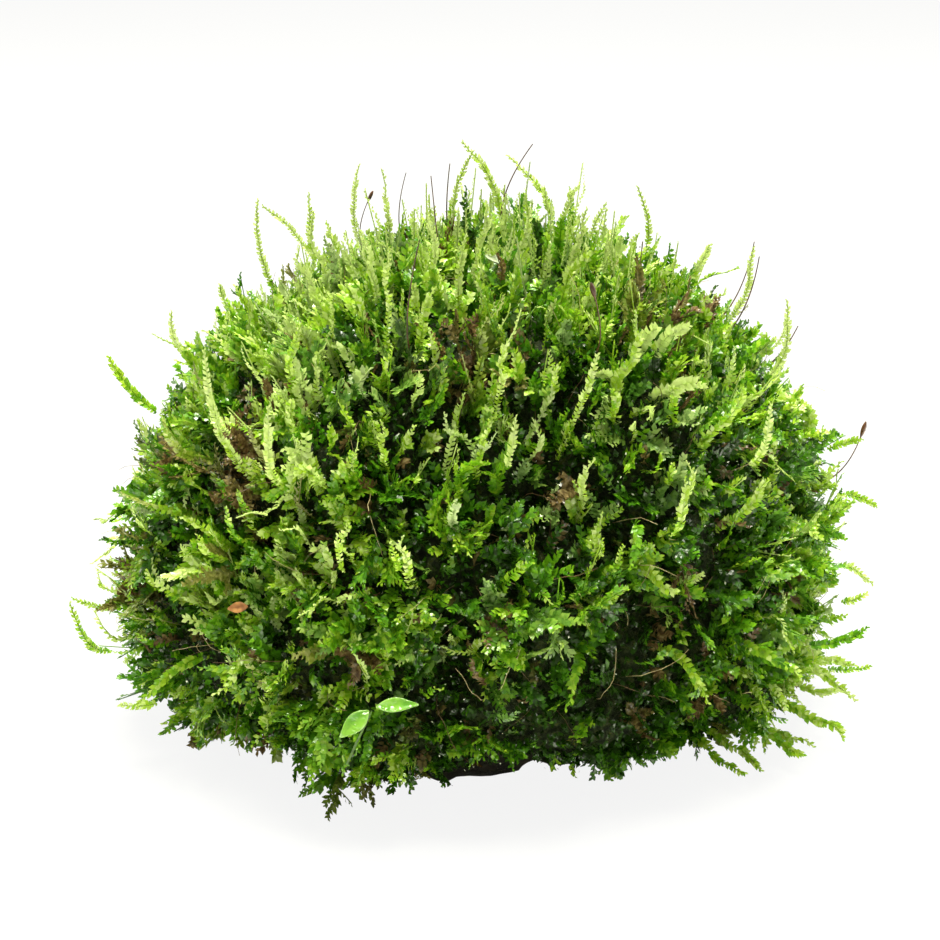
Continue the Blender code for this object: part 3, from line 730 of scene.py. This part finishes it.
def leaf_finish(name, glow, shine, dry, wet):
    """Thin wet leaves: light passes through them, and spots of a rippled water film give small bright glints."""
    material, tree, shader, place = new_material(name)
    facts = [wired(tree, "ShaderNodeAttribute", attribute_name=fact).node.outputs["Fac"] for fact in ("tint", "wilt", "along")]
    colours = tree.nodes.new("ShaderNodeGroup")
    colours.node_tree = LEAF_COLOURS
    for fact, socket in zip([*facts, place], colours.inputs):
        tree.links.new(fact, socket)
    tree.links.new(colours.outputs["Colour"], shader.inputs["Base Color"])
    tree.links.new(colours.outputs["Roughness"], shader.inputs["Roughness"])
    shader.inputs["Specular IOR Level"].default_value = shine
    ripples = wired(tree, "ShaderNodeTexNoise", place, 1600.0, 2.0)
    tree.links.new(wired(tree, "ShaderNodeMapRange", ripples, dry, wet, 0.0, 1.0), shader.inputs["Coat Weight"])
    shader.inputs["Coat Roughness"].default_value = 0.12
    shader.inputs["Coat IOR"].default_value = 1.8
    film = add_node(tree, "ShaderNodeBump")
    film.inputs["Strength"].default_value = 1.0
    film.inputs["Distance"].default_value = 0.15 * MM
    tree.links.new(ripples, film.inputs["Height"])
    tree.links.new(film.outputs["Normal"], shader.inputs["Coat Normal"])
    through = wired(tree, "ShaderNodeBsdfTranslucent", colours.outputs["Colour"])
    mixed = wired(tree, "ShaderNodeMixShader", glow, shader.outputs["BSDF"], through)
    tree.links.new(mixed, tree.nodes["Material Output"].inputs["Surface"])
    return material


ROOTING = rooting_tree()
BRANCHING = branching_tree()
LEAFING = leafing_tree()
LEAF = leaf_blank()
moss_leaves = leaf_finish("moss_leaves", glow=0.32, shine=0.25, dry=0.48, wet=0.6)


def grow_coat(name, sectors, branches, rooting, leafing, material):
    """Grows one coat of fronds over the heart, a piece for each sector."""
    for sector in range(sectors):
        ground = bpy.data.objects.new(name, heart)
        bpy.context.scene.collection.objects.link(ground)
        grow(ground, ROOTING, sector=sector, sectors=sectors, **rooting)
        if branches:
            grow(ground, BRANCHING, branches=branches, wander=leafing["wander"])
        grow(ground, LEAFING, leaf=LEAF, material=material, **leafing)
        mesh = evaluated_mesh(ground)
        add_piece(f"{name}_{sector + 1}", mesh, material, "moss_green")


def painted_glint_finish():
    """Painted glints: tiny flecks between the fronds, coloured near white and smooth to stand for light glinting off
    wet leaves.
    """
    material, tree, shader, place = new_material("wet_specks")
    # Painted glint: a near-white base colour stands for light glinting off wet leaves.
    shader.inputs["Base Color"].default_value = (0.78, 0.82, 0.62, 1)
    shader.inputs["Roughness"].default_value = 0.08
    shader.inputs["Coat Weight"].default_value = 1.0
    return material


STREWING = strewing_tree()
under_leaves = bpy.data.objects.new("under_leaves", heart)
bpy.context.scene.collection.objects.link(under_leaves)
old_leaves = leaf_finish("wet_old_leaves", glow=0.1, shine=0.1, dry=0.5, wet=0.6)
grow(
    under_leaves,
    STREWING,
    leaf=LEAF,
    leaf_length=1.1 * MM,
    leaves_per_square_metre=1300000.0,
    material=old_leaves,
)
add_piece("under_leaves", evaluated_mesh(under_leaves), old_leaves, "moss_green")

# Painted glints: tiny near-white flecks strewn over the heart, standing for the light glinting off wet leaves in the
# gaps.
wet_specks = bpy.data.objects.new("wet_specks", heart)
bpy.context.scene.collection.objects.link(wet_specks)
painted_glint_white = painted_glint_finish()
grow(
    wet_specks,
    STREWING,
    leaf=LEAF,
    leaf_length=0.32 * MM,
    leaves_per_square_metre=120000.0,
    highest=3.0 * MM,
    material=painted_glint_white,
)
add_piece("wet_specks", evaluated_mesh(wet_specks), painted_glint_white, "moss_green")

grow_coat(
    "short_fronds",
    1,
    0,
    dict(
        roots_per_square_metre=140000.0,
        seed=3,
        shortest=4.0 * MM,
        longest=6.5 * MM,
        straggle=0.9,
        flow=3.0,
        hang=-0.8,
        reach_up=0.6,
        darkest=-0.1,
        palest=0.35,
        dead_share=0.2,
    ),
    dict(leaf_length=1.15 * MM, leaf_spacing=0.4 * MM, stem_radius=0.09 * MM, wander=2.0 * MM),
    moss_leaves,
)
grow_coat(
    "long_fronds",
    5,
    3,
    dict(
        roots_per_square_metre=115000.0,
        seed=8,
        shortest=6.0 * MM,
        longest=12.0 * MM,
        straggle=0.7,
        flow=4.5,
        hang=-1.1,
        reach_up=1.0,
        darkest=0.05,
        palest=0.68,
        dead_share=0.03,
    ),
    dict(leaf_length=1.2 * MM, leaf_spacing=0.32 * MM, stem_radius=0.1 * MM, wander=2.8 * MM),
    moss_leaves,
)
grow_coat(
    "upright_fronds",
    1,
    0,
    dict(
        roots_per_square_metre=17000.0,
        seed=21,
        shortest=8.0 * MM,
        longest=13.5 * MM,
        straggle=0.6,
        flow=2.5,
        hang=0.5,
        reach_up=2.2,
        lowest_height=0.05,
        darkest=0.5,
        palest=0.9,
    ),
    dict(leaf_length=0.9 * MM, leaf_spacing=0.31 * MM, stem_radius=0.11 * MM, wander=2.6 * MM, spread=0.92),
    moss_leaves,
)
grow_coat(
    "crown_fronds",
    1,
    0,
    dict(
        roots_per_square_metre=42000.0,
        seed=33,
        shortest=7.0 * MM,
        longest=13.5 * MM,
        straggle=0.7,
        flow=2.0,
        hang=0.2,
        reach_up=2.2,
        lowest_height=0.62,
        darkest=0.5,
        palest=1.0,
    ),
    dict(leaf_length=0.9 * MM, leaf_spacing=0.32 * MM, stem_radius=0.11 * MM, wander=2.4 * MM, spread=0.95),
    moss_leaves,
)
grow_coat(
    "slim_shoots",
    1,
    0,
    dict(
        roots_per_square_metre=30000.0,
        seed=51,
        shortest=10.0 * MM,
        longest=17.0 * MM,
        straggle=0.35,
        flow=0.8,
        hang=1.4,
        reach_up=2.8,
        lowest_height=0.85,
        darkest=0.8,
        palest=1.15,
    ),
    dict(leaf_length=0.55 * MM, leaf_spacing=0.36 * MM, stem_radius=0.12 * MM, wander=2.4 * MM, spread=0.8),
    moss_leaves,
)
grow_coat(
    "runners",
    1,
    0,
    dict(
        roots_per_square_metre=9000.0,
        seed=40,
        shortest=11.0 * MM,
        longest=15.0 * MM,
        straggle=1.4,
        flow=3.0,
        hang=-0.7,
        reach_up=0.7,
        darkest=0.65,
        palest=0.9,
    ),
    dict(
        leaf_length=0.8 * MM, leaf_spacing=0.32 * MM, stem_radius=0.1 * MM, stem_points=9, wander=5.0 * MM, spread=0.9
    ),
    moss_leaves,
)


# Dead stems: thin bare threads of old moss, straw-coloured or brown, that lie about between the fronds.

THREADS = ((130, 12, "straw", (0.3, 0.22, 0.08), (0.62, 0.52, 0.26)), (170, 23, "brown", (0.05, 0.025, 0.01), (0.2, 0.12, 0.05)))
THREAD_LENGTH = (5.0, 13.0)


def heart_surface():
    """A search tree over the heart, for what is rooted at listed places."""
    bm = bmesh.new()
    bm.from_mesh(heart)
    found = BVHTree.FromBMesh(bm)
    bm.free()
    return found


HEART_SURFACE = heart_surface()


def on_heart(azimuth, rise):
    """The place on the heart in a direction from its middle."""
    way = towards(azimuth, rise)
    return HEART_SURFACE.ray_cast(MIDDLE + way * 150 * MM, -way)[0]


def tube_mesh(name, paths):
    """One mesh of thin tubes along paths of (place, radius) stops."""
    curve = bpy.data.curves.new(name, "CURVE")
    curve.dimensions = "3D"
    curve.bevel_depth = 1.0
    curve.bevel_resolution = 0
    curve.use_fill_caps = True
    for path in paths:
        spline = curve.splines.new("POLY")
        spline.points.add(len(path) - 1)
        for point, (place, radius) in zip(spline.points, path):
            point.co = (*place, 1)
            point.radius = radius
    blank = bpy.data.objects.new(name, curve)
    bpy.context.scene.collection.objects.link(blank)
    mesh = evaluated_mesh(blank)
    mesh.shade_smooth()
    return mesh


def mottled_finish(name, dark, pale, roughness, scale=900.0):
    """A matt or slightly wet surface that runs between two colours in small blotches."""
    material, tree, shader, place = new_material(name)
    blotches = wired(tree, "ShaderNodeTexNoise", place, scale, 4.0)
    tree.links.new(ramp(tree, blotches, (0.35, dark), (0.65, pale)), shader.inputs["Base Color"])
    shader.inputs["Roughness"].default_value = roughness
    return material


def thread_path(pick):
    """A crooked thread that starts in the heart and lies over the fronds."""
    azimuth, rise = pick.uniform(0, 360), math.degrees(math.asin(pick.uniform(-0.1, 0.98)))
    place, out = on_heart(azimuth, rise), towards(azimuth, rise)
    length, steps = pick.uniform(*THREAD_LENGTH) * MM, 7
    way = out
    across = out.cross(Vector(pick.uniform(-1, 1) for _ in "xyz")).normalized()
    path = []
    for step in range(steps + 1):
        path.append((place, (0.06 - 0.03 * step / steps) * MM))
        turned = out * (1.2 - 1.5 * step / steps) + across * 0.9 + Vector((0, 0, 0.35))
        way = (way + turned.normalized() * 0.8 + Vector(pick.uniform(-0.4, 0.4) for _ in "xyz")).normalized()
        place = place + way * length / steps
        place.z = max(place.z, LOWEST_LEAF)
    return path


for count, seed, kind, dark, pale in THREADS:
    picker = random.Random(seed)
    threads = tube_mesh(kind + "_threads", [thread_path(picker) for _ in range(count)])
    add_piece(kind + "_threads", threads, mottled_finish(kind + "_thread", dark, pale, 0.4), "moss_green")


# Long separate shoots: slim leafy stems that stand clear of the mat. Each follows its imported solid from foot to
# tip, and its leaves are as wide as the solid.

# Shoots that differ from the rest: number, tint, leaf length against the others
BROAD_SHOOTS = {1: (0.55, 1.25), 13: (0.7, 1.25), 21: (0.4, 1.2), 27: (0.68, 1.1), 32: (0.75, 1.15), 35: (0.4, 1.2)}


def foot_and_tip(node):
    """The middles of a stem's two ends: the one nearest the mound's middle, and the one farthest from that."""
    places = [vert.co for vert in nodes[node].data.vertices]
    nearest = min(places, key=lambda place: (place - MIDDLE).length)
    foot = [place for place in places if (place - nearest).length < 1.3 * MM]
    foot = sum(foot, Vector()) / len(foot)
    return foot, max(places, key=lambda place: (place - foot).length)


def stem_facts(node):
    """A stem's foot, and the start, finish and length that carry its path from there to its tip."""
    foot, tip = foot_and_tip(node)
    reach = tip - foot
    out = (foot - MIDDLE).normalized()
    start = out * 0.8
    return foot, start, reach * 2 / reach.length - start, reach.length


# Single fronds that stand out at the front: azimuth and rise, where the tip lies from the place on the
# mat above the root in millimetres, tint, wilting and leaf size
OUTSTANDING = (
    (274, 49, (3.3, -1, 14.2), 0.8, 0, 0.7),
    (288, 44, (2.3, -1, 9.1), 0.75, 0, 0.7),
    (290, 34, (0.0, -2, 8.6), 0.85, 0, 0.95),
    (306, 29, (-0.3, -2, 11.0), 0.85, 0, 0.8),
    (260, 23, (-1.0, -3, 8.9), 0.85, 0, 0.85),
    (249, 26, (0.3, -3, 7.2), 0.75, 0, 0.9),
    (270, 41, (0.8, -2, 7.6), 0.75, 0, 0.8),
    (284, 38, (-3.0, -3, -7.2), 0.6, 0, 1.0),
    (293, 23, (1.0, -3, 6.2), 0.6, 0, 0.9),
    (274, 23, (3.7, -3, 5.7), 0.5, 0, 1.2),
    (337, 28, (-4.2, -2, 9.4), 0.75, 0, 0.9),
    (266, 31, (-0.3, -2, 6.1), 0.9, -0.9, 1.1),
    (253, 40, (-0.4, -2, 7.5), 0.75, 0, 0.8),
    (243, 12, (4.2, -3, 4.4), 0.6, 0, 1.1),
    (231, 47, (2.1, -1, 9.7), 0.7, 0, 0.9),
    (247, 57, (1.4, 0, 13.3), 0.8, 0, 0.7),
    (254, 59, (2.8, 0, 7.4), 0.7, 0, 1.0),
    (298, 48, (4.2, -1, 9.6), 0.75, 0, 1.1),
    (314, 39, (4.2, -1, 7.4), 0.7, 0, 1.1),
    (317, 27, (4.3, -1, 7.5), 0.7, 0, 1.0),
    (303, 67, (2.2, 0, 7.6), 0.7, 0, 1.1),
    (263, 69, (1.4, 0, 9.1), 0.9, 0, 0.8),
    (227, 35, (-3.1, -1, 11.9), 0.85, 0, 0.85),
    (237, 32, (0.7, -2, 10.2), 0.85, 0, 0.9),
    (244, 36, (4.4, -2, 5.8), 0.65, 0, 1.0),
    (279, 27, (2.7, -3, -4.3), 0.6, 0, 1.0),
    (299, 25, (4.2, -3, -3.6), 0.75, 0, 1.2),
    (288, 13, (-3.4, -3, -5.8), 0.5, 0, 1.1),
    (272, 16, (4.1, -3, -2.9), 0.45, 0, 1.1),
    (261, 16, (-3.4, -3, -3.6), 0.6, -0.6, 1.0),
    (305, 10, (4.2, -3, -5.9), 0.6, 0, 1.1),
    (319, 8, (5.8, -2, -3.8), 0.65, 0, 1.1),
    (232, 10, (-3.5, -3, -4.5), 0.7, 0, 1.1),
    (217, 4, (-5.8, -3, -4.6), 0.6, 0, 1.1),
    (214, 12, (-5.8, -3, 6.1), 0.8, 0, 0.9),
    (224, 24, (-3.6, -2, 6.0), 0.65, 0, 1.0),
    (200, 54, (-2.2, 0, 6.3), 0.7, 0, 1.0),
    (306, 52, (1.5, -1, 4.5), 1.0, 0, 1.55),
    (302, 50, (-4.0, -2, 1.5), 0.95, 0, 1.45),
    (308, 47, (4.5, -2, 0.5), 1.0, 0, 1.5),
    (304, 46, (-1.0, -3, -2.0), 0.9, 0, 1.4),
    (300, 46, (-5.0, -2, -1.0), 0.9, 0, 1.3),
    (310, 52, (5.0, -1, 3.5), 0.95, 0, 1.45),
    (356, -9, (6.5, 0, 0.5), 0.75, 0, 1.0),
    (351, -12, (6.0, 0, -1.0), 0.8, 0, 1.0),
    (348, -7, (6.5, -1, -3.0), 0.7, 0, 1.1),
    (344, -13, (5.5, -2, -2.0), 0.75, 0, 1.1),
    (339, -10, (5.5, -3, -3.5), 0.65, 0, 1.1),
    (336, -14, (5.0, -3, -2.0), 0.7, 0, 1.0),
    (331, -12, (4.5, -4, -3.0), 0.6, 0, 1.1),
    (325, -14, (4.0, -5, -2.5), 0.65, 0, 1.0),
    (318, -13, (4.0, -5, -2.0), 0.55, 0, 1.0),
    (235, 66, (-2.0, 0, 10.0), 0.95, 0, 0.8),
    (250, 72, (0.5, 0, 11.0), 1.0, 0, 0.75),
    (270, 78, (1.5, 0, 9.5), 0.95, 0, 0.85),
    (215, 62, (-3.0, 1, 9.0), 0.95, 0, 0.8),
    (200, 66, (-1.0, 1, 10.5), 1.0, 0, 0.75),
    (290, 76, (3.0, 0, 9.0), 0.9, 0, 0.9),
    (330, 74, (3.0, 1, 8.5), 0.95, 0, 0.85),
    (160, 76, (-1.5, 1, 10.0), 1.0, 0, 0.75),
    (30, 76, (2.5, 1, 9.0), 0.95, 0, 0.8),
    (251, 6, (1.0, -5, -7.0), 0.35, 0, 1.0),
    (247, 4, (3.5, -4, -8.0), 0.4, 0, 1.0),
    (255, 3, (-2.5, -4, -7.0), 0.3, 0, 1.0),
    (244, 0, (0.5, -4, -7.5), 0.35, 0, 1.0),
)


def planted_mesh(rows):
    """One vertex for each frond in (root, start, finish, way, length, tint, wilt, leaf size), for the trees."""
    mesh = bpy.data.meshes.new("planted")
    mesh.from_pydata([row[0] for row in rows], [], [])
    for name, column in (("start", 1), ("finish", 2), ("way", 3)):
        flat = [part for row in rows for part in row[column]]
        mesh.attributes.new(name, "FLOAT_VECTOR", "POINT").data.foreach_set("vector", flat)
    for name, column in (("length", 4), ("tint", 5), ("wilt", 6), ("leaf", 7)):
        mesh.attributes.new(name, "FLOAT", "POINT").data.foreach_set("value", [row[column] for row in rows])
    mesh.attributes.new("frond", "INT", "POINT").data.foreach_set("value", list(range(len(rows))))
    return mesh


def shoot_rows():
    """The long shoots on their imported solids."""
    pick = random.Random(5)
    for node in sorted(name for name in nodes if name.startswith("shoot_")):
        foot, start, finish, length = stem_facts(node)
        tint, leaf = BROAD_SHOOTS.get(int(node[-2:]), (pick.uniform(0.55, 0.85), pick.uniform(0.8, 1.05)))
        # Shoots rooted on the crown get a paler tint, partly paler young shoots and partly painted light for the
        # backlit top of the mound.
        tint += 0.25 * (foot.z > 50 * MM)
        way = Vector((pick.uniform(-0.6, 0.6), -1, pick.uniform(0, 0.7))).normalized()
        yield foot, start, finish, way, length, tint, 0.0, leaf


def outstanding_rows():
    pick = random.Random(9)
    for azimuth, rise, tip, tint, wilt, leaf in OUTSTANDING:
        root = on_heart(azimuth, rise)
        out = towards(azimuth, rise)
        reach = out * 6 * MM + Vector(tip) * MM
        finish = reach * 2 / reach.length - out
        way = Vector((pick.uniform(-0.5, 0.5), -1, pick.uniform(0, 0.6))).normalized()
        yield root, out, finish, way, reach.length, tint, wilt, leaf


def planting_tree():
    """Turns a mesh's vertices into the points that the leafing tree grows from."""
    tree, given, result = new_tree("planted_roots")
    tree.links.new(wired(tree, "GeometryNodeMeshToPoints", given["Geometry"]), result)
    return tree


PLANTING = planting_tree()


def plant(name, rows, slot, *replaced, **leafing):
    """Grows the fronds of some rows as one piece."""
    blank = bpy.data.objects.new(name, planted_mesh(list(rows)))
    bpy.context.scene.collection.objects.link(blank)
    grow(blank, PLANTING)
    grow(blank, LEAFING, leaf=LEAF, material=moss_leaves, **leafing)
    add_piece(name, evaluated_mesh(blank), moss_leaves, slot, *replaced)


plant(
    "long_shoots",
    shoot_rows(),
    "shoot_green",
    *(name for name in nodes if name.startswith("shoot_")),
    leaf_length=0.95 * MM,
    leaf_spacing=0.29 * MM,
    stem_radius=0.13 * MM,
    stem_points=10,
    wander=0.8 * MM,
    spread=0.9,
)
plant(
    "outstanding_fronds",
    outstanding_rows(),
    "moss_green",
    leaf_length=1.1 * MM,
    leaf_spacing=0.29 * MM,
    stem_radius=0.12 * MM,
    stem_points=8,
    wander=3.0 * MM,
    spread=0.9,
)


# Spore stalks: wiry, dark red-brown and hair thin, and some still hold a slim brown capsule.

STALK_RADIUS = 0.13 * MM


def stalk_mesh(node, fertile):
    """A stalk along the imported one's path, swelling at its tip where it holds a capsule."""
    foot, start, finish, length = stem_facts(node)
    steps = 14
    stops = [(i / steps, STALK_RADIUS * (1 - 0.35 * i / steps)) for i in range(steps + 1)]
    if fertile:
        stops = [stop for stop in stops if stop[0] < 0.82]
        stops += [(0.84, 0.14 * MM), (0.87, 0.3 * MM), (0.91, 0.4 * MM), (0.95, 0.38 * MM), (0.98, 0.24 * MM), (1.0, 0.08 * MM)]
    path = []
    for along, radius in stops:
        path.append((foot + (start * (along - along**2 / 2) + finish * along**2 / 2) * length, radius))
    return tube_mesh(node, [path])


stalk_brown = mottled_finish("red_brown_stalk", (0.035, 0.014, 0.008), (0.13, 0.05, 0.02), 0.35, 400.0)
FERTILE_STALKS = (1, 7, 11, 12)
for node in sorted(name for name in nodes if name.startswith("spore_stalk_")):
    number = int(node[-2:])
    add_piece(f"stalk_{number:02d}", stalk_mesh(node, number in FERTILE_STALKS), stalk_brown, "stalk_brown", node)


# The seedling: a bowed stem and two smooth, glossy first leaves, low at the front of the mound.


def soft_copy(node, name, levels=2):
    """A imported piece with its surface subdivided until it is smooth."""
    bm = merged_copy(node)
    mesh = bpy.data.meshes.new(name)
    bm.to_mesh(mesh)
    bm.free()
    blank = bpy.data.objects.new(name, mesh)
    bpy.context.scene.collection.objects.link(blank)
    soft = blank.modifiers.new("soft", "SUBSURF")
    soft.levels = soft.render_levels = levels
    made = evaluated_mesh(blank)
    made.shade_smooth()
    return made


def seedling_leaf(node):
    """A first leaf whose vertices say how near they are to its rim."""
    mesh = soft_copy(node, node + "_soft")
    places = np.array([vert.co for vert in mesh.vertices])
    middle = places.mean(axis=0)
    axes = np.linalg.svd(places - middle, full_matrices=False)[2]
    flat = (places - middle) @ axes[:2].T
    half = np.abs(flat).max(axis=0)
    along, across = np.abs(flat[:, 0]) / half[0], np.abs(flat[:, 1]) / half[1]
    rim = across + along**2
    mesh.attributes.new("rim", "FLOAT", "POINT").data.foreach_set("value", rim)
    return mesh


def seedling_finish():
    """Bright green with a paler rim, under a water film that lies in streaks."""
    material, tree, shader, place = new_material("glossy_seedling_leaf")
    veins = wired(tree, "ShaderNodeTexNoise", place, 500.0, 3.0)
    colour = ramp(tree, veins, (0.35, (0.12, 0.38, 0.012)), (0.65, (0.27, 0.58, 0.04)))
    rim = wired(tree, "ShaderNodeAttribute", attribute_name="rim").node.outputs["Fac"]
    pale = wired(tree, "ShaderNodeMapRange", rim, 0.75, 1.0, 0.0, 0.6)
    colour = add_node(tree, "ShaderNodeMix", pale, colour, (0.42, 0.68, 0.16, 1), data_type="RGBA").outputs["Result"]
    tree.links.new(colour, shader.inputs["Base Color"])
    shader.inputs["Roughness"].default_value = 0.22
    shader.inputs["Coat Weight"].default_value = 1.0
    shader.inputs["Coat IOR"].default_value = 1.8
    shader.inputs["Coat Roughness"].default_value = 0.06
    film = add_node(tree, "ShaderNodeBump")
    film.inputs["Strength"].default_value = 1.0
    film.inputs["Distance"].default_value = 1.4 * MM
    tree.links.new(wired(tree, "ShaderNodeTexNoise", place, 600.0, 2.0), film.inputs["Height"])
    tree.links.new(film.outputs["Normal"], shader.inputs["Coat Normal"])
    through = wired(tree, "ShaderNodeBsdfTranslucent", colour)
    mixed = wired(tree, "ShaderNodeMixShader", 0.25, shader.outputs["BSDF"], through)
    tree.links.new(mixed, tree.nodes["Material Output"].inputs["Surface"])
    return material


seedling_green = seedling_finish()
for node in ("seedling_leaf_left", "seedling_leaf_right"):
    add_piece(node + "_soft", seedling_leaf(node), seedling_green, "seedling_green", node)
stem_green = mottled_finish("seedling_stem", (0.03, 0.08, 0.006), (0.08, 0.17, 0.015), 0.5)
stem_copy = soft_copy("seedling_stem", "seedling_stem_soft")
add_piece("seedling_stem_soft", stem_copy, stem_green, "seedling_green", "seedling_stem")


# Fallen scraps: a small orange-brown leaf, a limp grey-green one and a papery tan husk, caught in the fronds.


SCRAPS = (
    ("brown_leaf_scrap", "dead_leaf_brown", (0.22, 0.08, 0.02), (0.5, 0.24, 0.06), 0.55),
    ("grey_leaf_scrap", "dead_leaf_grey", (0.2, 0.24, 0.13), (0.42, 0.48, 0.32), 0.35),
    ("tan_husk", "husk_tan", (0.24, 0.15, 0.07), (0.5, 0.38, 0.2), 0.6),
)
for node, scrap_slot, dark, pale, roughness in SCRAPS:
    add_piece(
        node + "_soft", soft_copy(node, node + "_soft"), mottled_finish(scrap_slot, dark, pale, roughness), scrap_slot, node
    )


# The studio: a white floor and surround, one large soft light overhead and white light from the sides and back.

FLOOR_SIZE = 6.0
LIGHT_COLOUR = (1.0, 0.99, 0.84)


def add_floor():
    bm = bmesh.new()
    bmesh.ops.create_grid(bm, x_segments=1, y_segments=1, size=FLOOR_SIZE / 2)
    mesh = bpy.data.meshes.new("floor")
    bm.to_mesh(mesh)
    bm.free()
    material, tree, shader, _ = new_material("white_floor")
    shader.inputs["Base Color"].default_value = (0.86, 0.86, 0.86, 1)
    shader.inputs["Roughness"].default_value = 0.9
    seen = tree.nodes.new("ShaderNodeLightPath").outputs["Is Camera Ray"]
    glow = wired(tree, "ShaderNodeEmission", (1, 1, 1, 1), 1.0)
    mixed = wired(tree, "ShaderNodeMixShader", reckon(tree, "MULTIPLY", seen, 0.88), shader.outputs["BSDF"], glow)
    tree.links.new(mixed, tree.nodes["Material Output"].inputs["Surface"])
    mesh.materials.append(material)
    floor = bpy.data.objects.new("floor", mesh)
    bpy.context.scene.collection.objects.link(floor)


def add_light(name, place, aim, size, power):
    light = bpy.data.lights.new(name, "AREA")
    light.color = LIGHT_COLOUR
    light.shape = "SQUARE"
    light.size = size
    light.energy = power
    obj = bpy.data.objects.new(name, light)
    bpy.context.scene.collection.objects.link(obj)
    obj.location = place
    obj.rotation_mode = "QUATERNION"
    obj.rotation_quaternion = (Vector(aim) - Vector(place)).to_track_quat("-Z", "Y")


def add_surround():
    """White all round, brighter to the camera than it is as a light."""
    world = bpy.data.worlds.new("white_surround")
    bpy.context.scene.world = world
    world.use_nodes = True
    tree = world.node_tree
    seen = tree.nodes.new("ShaderNodeLightPath").outputs["Is Camera Ray"]
    strength = wired(tree, "ShaderNodeMapRange", seen, 0.0, 1.0, 0.45, 1.0)
    backdrop = tree.nodes["Background"]
    colour = wired(tree, "ShaderNodeMix", seen, (*LIGHT_COLOUR, 1), (1, 1, 1, 1), data_type="RGBA")
    tree.links.new(colour, backdrop.inputs["Color"])
    tree.links.new(strength, backdrop.inputs["Strength"])


add_floor()
add_light("overhead", (0, 0.06, 0.7), (0, 0, 0.04), 0.4, 14.0)
add_light("left_back", (-0.6, 0.45, 0.35), (0, 0, 0.04), 0.5, 3.0)
add_light("right_back", (0.6, 0.4, 0.35), (0, 0, 0.04), 0.5, 3.0)
add_surround()
bpy.context.scene.view_settings.view_transform = "Standard"
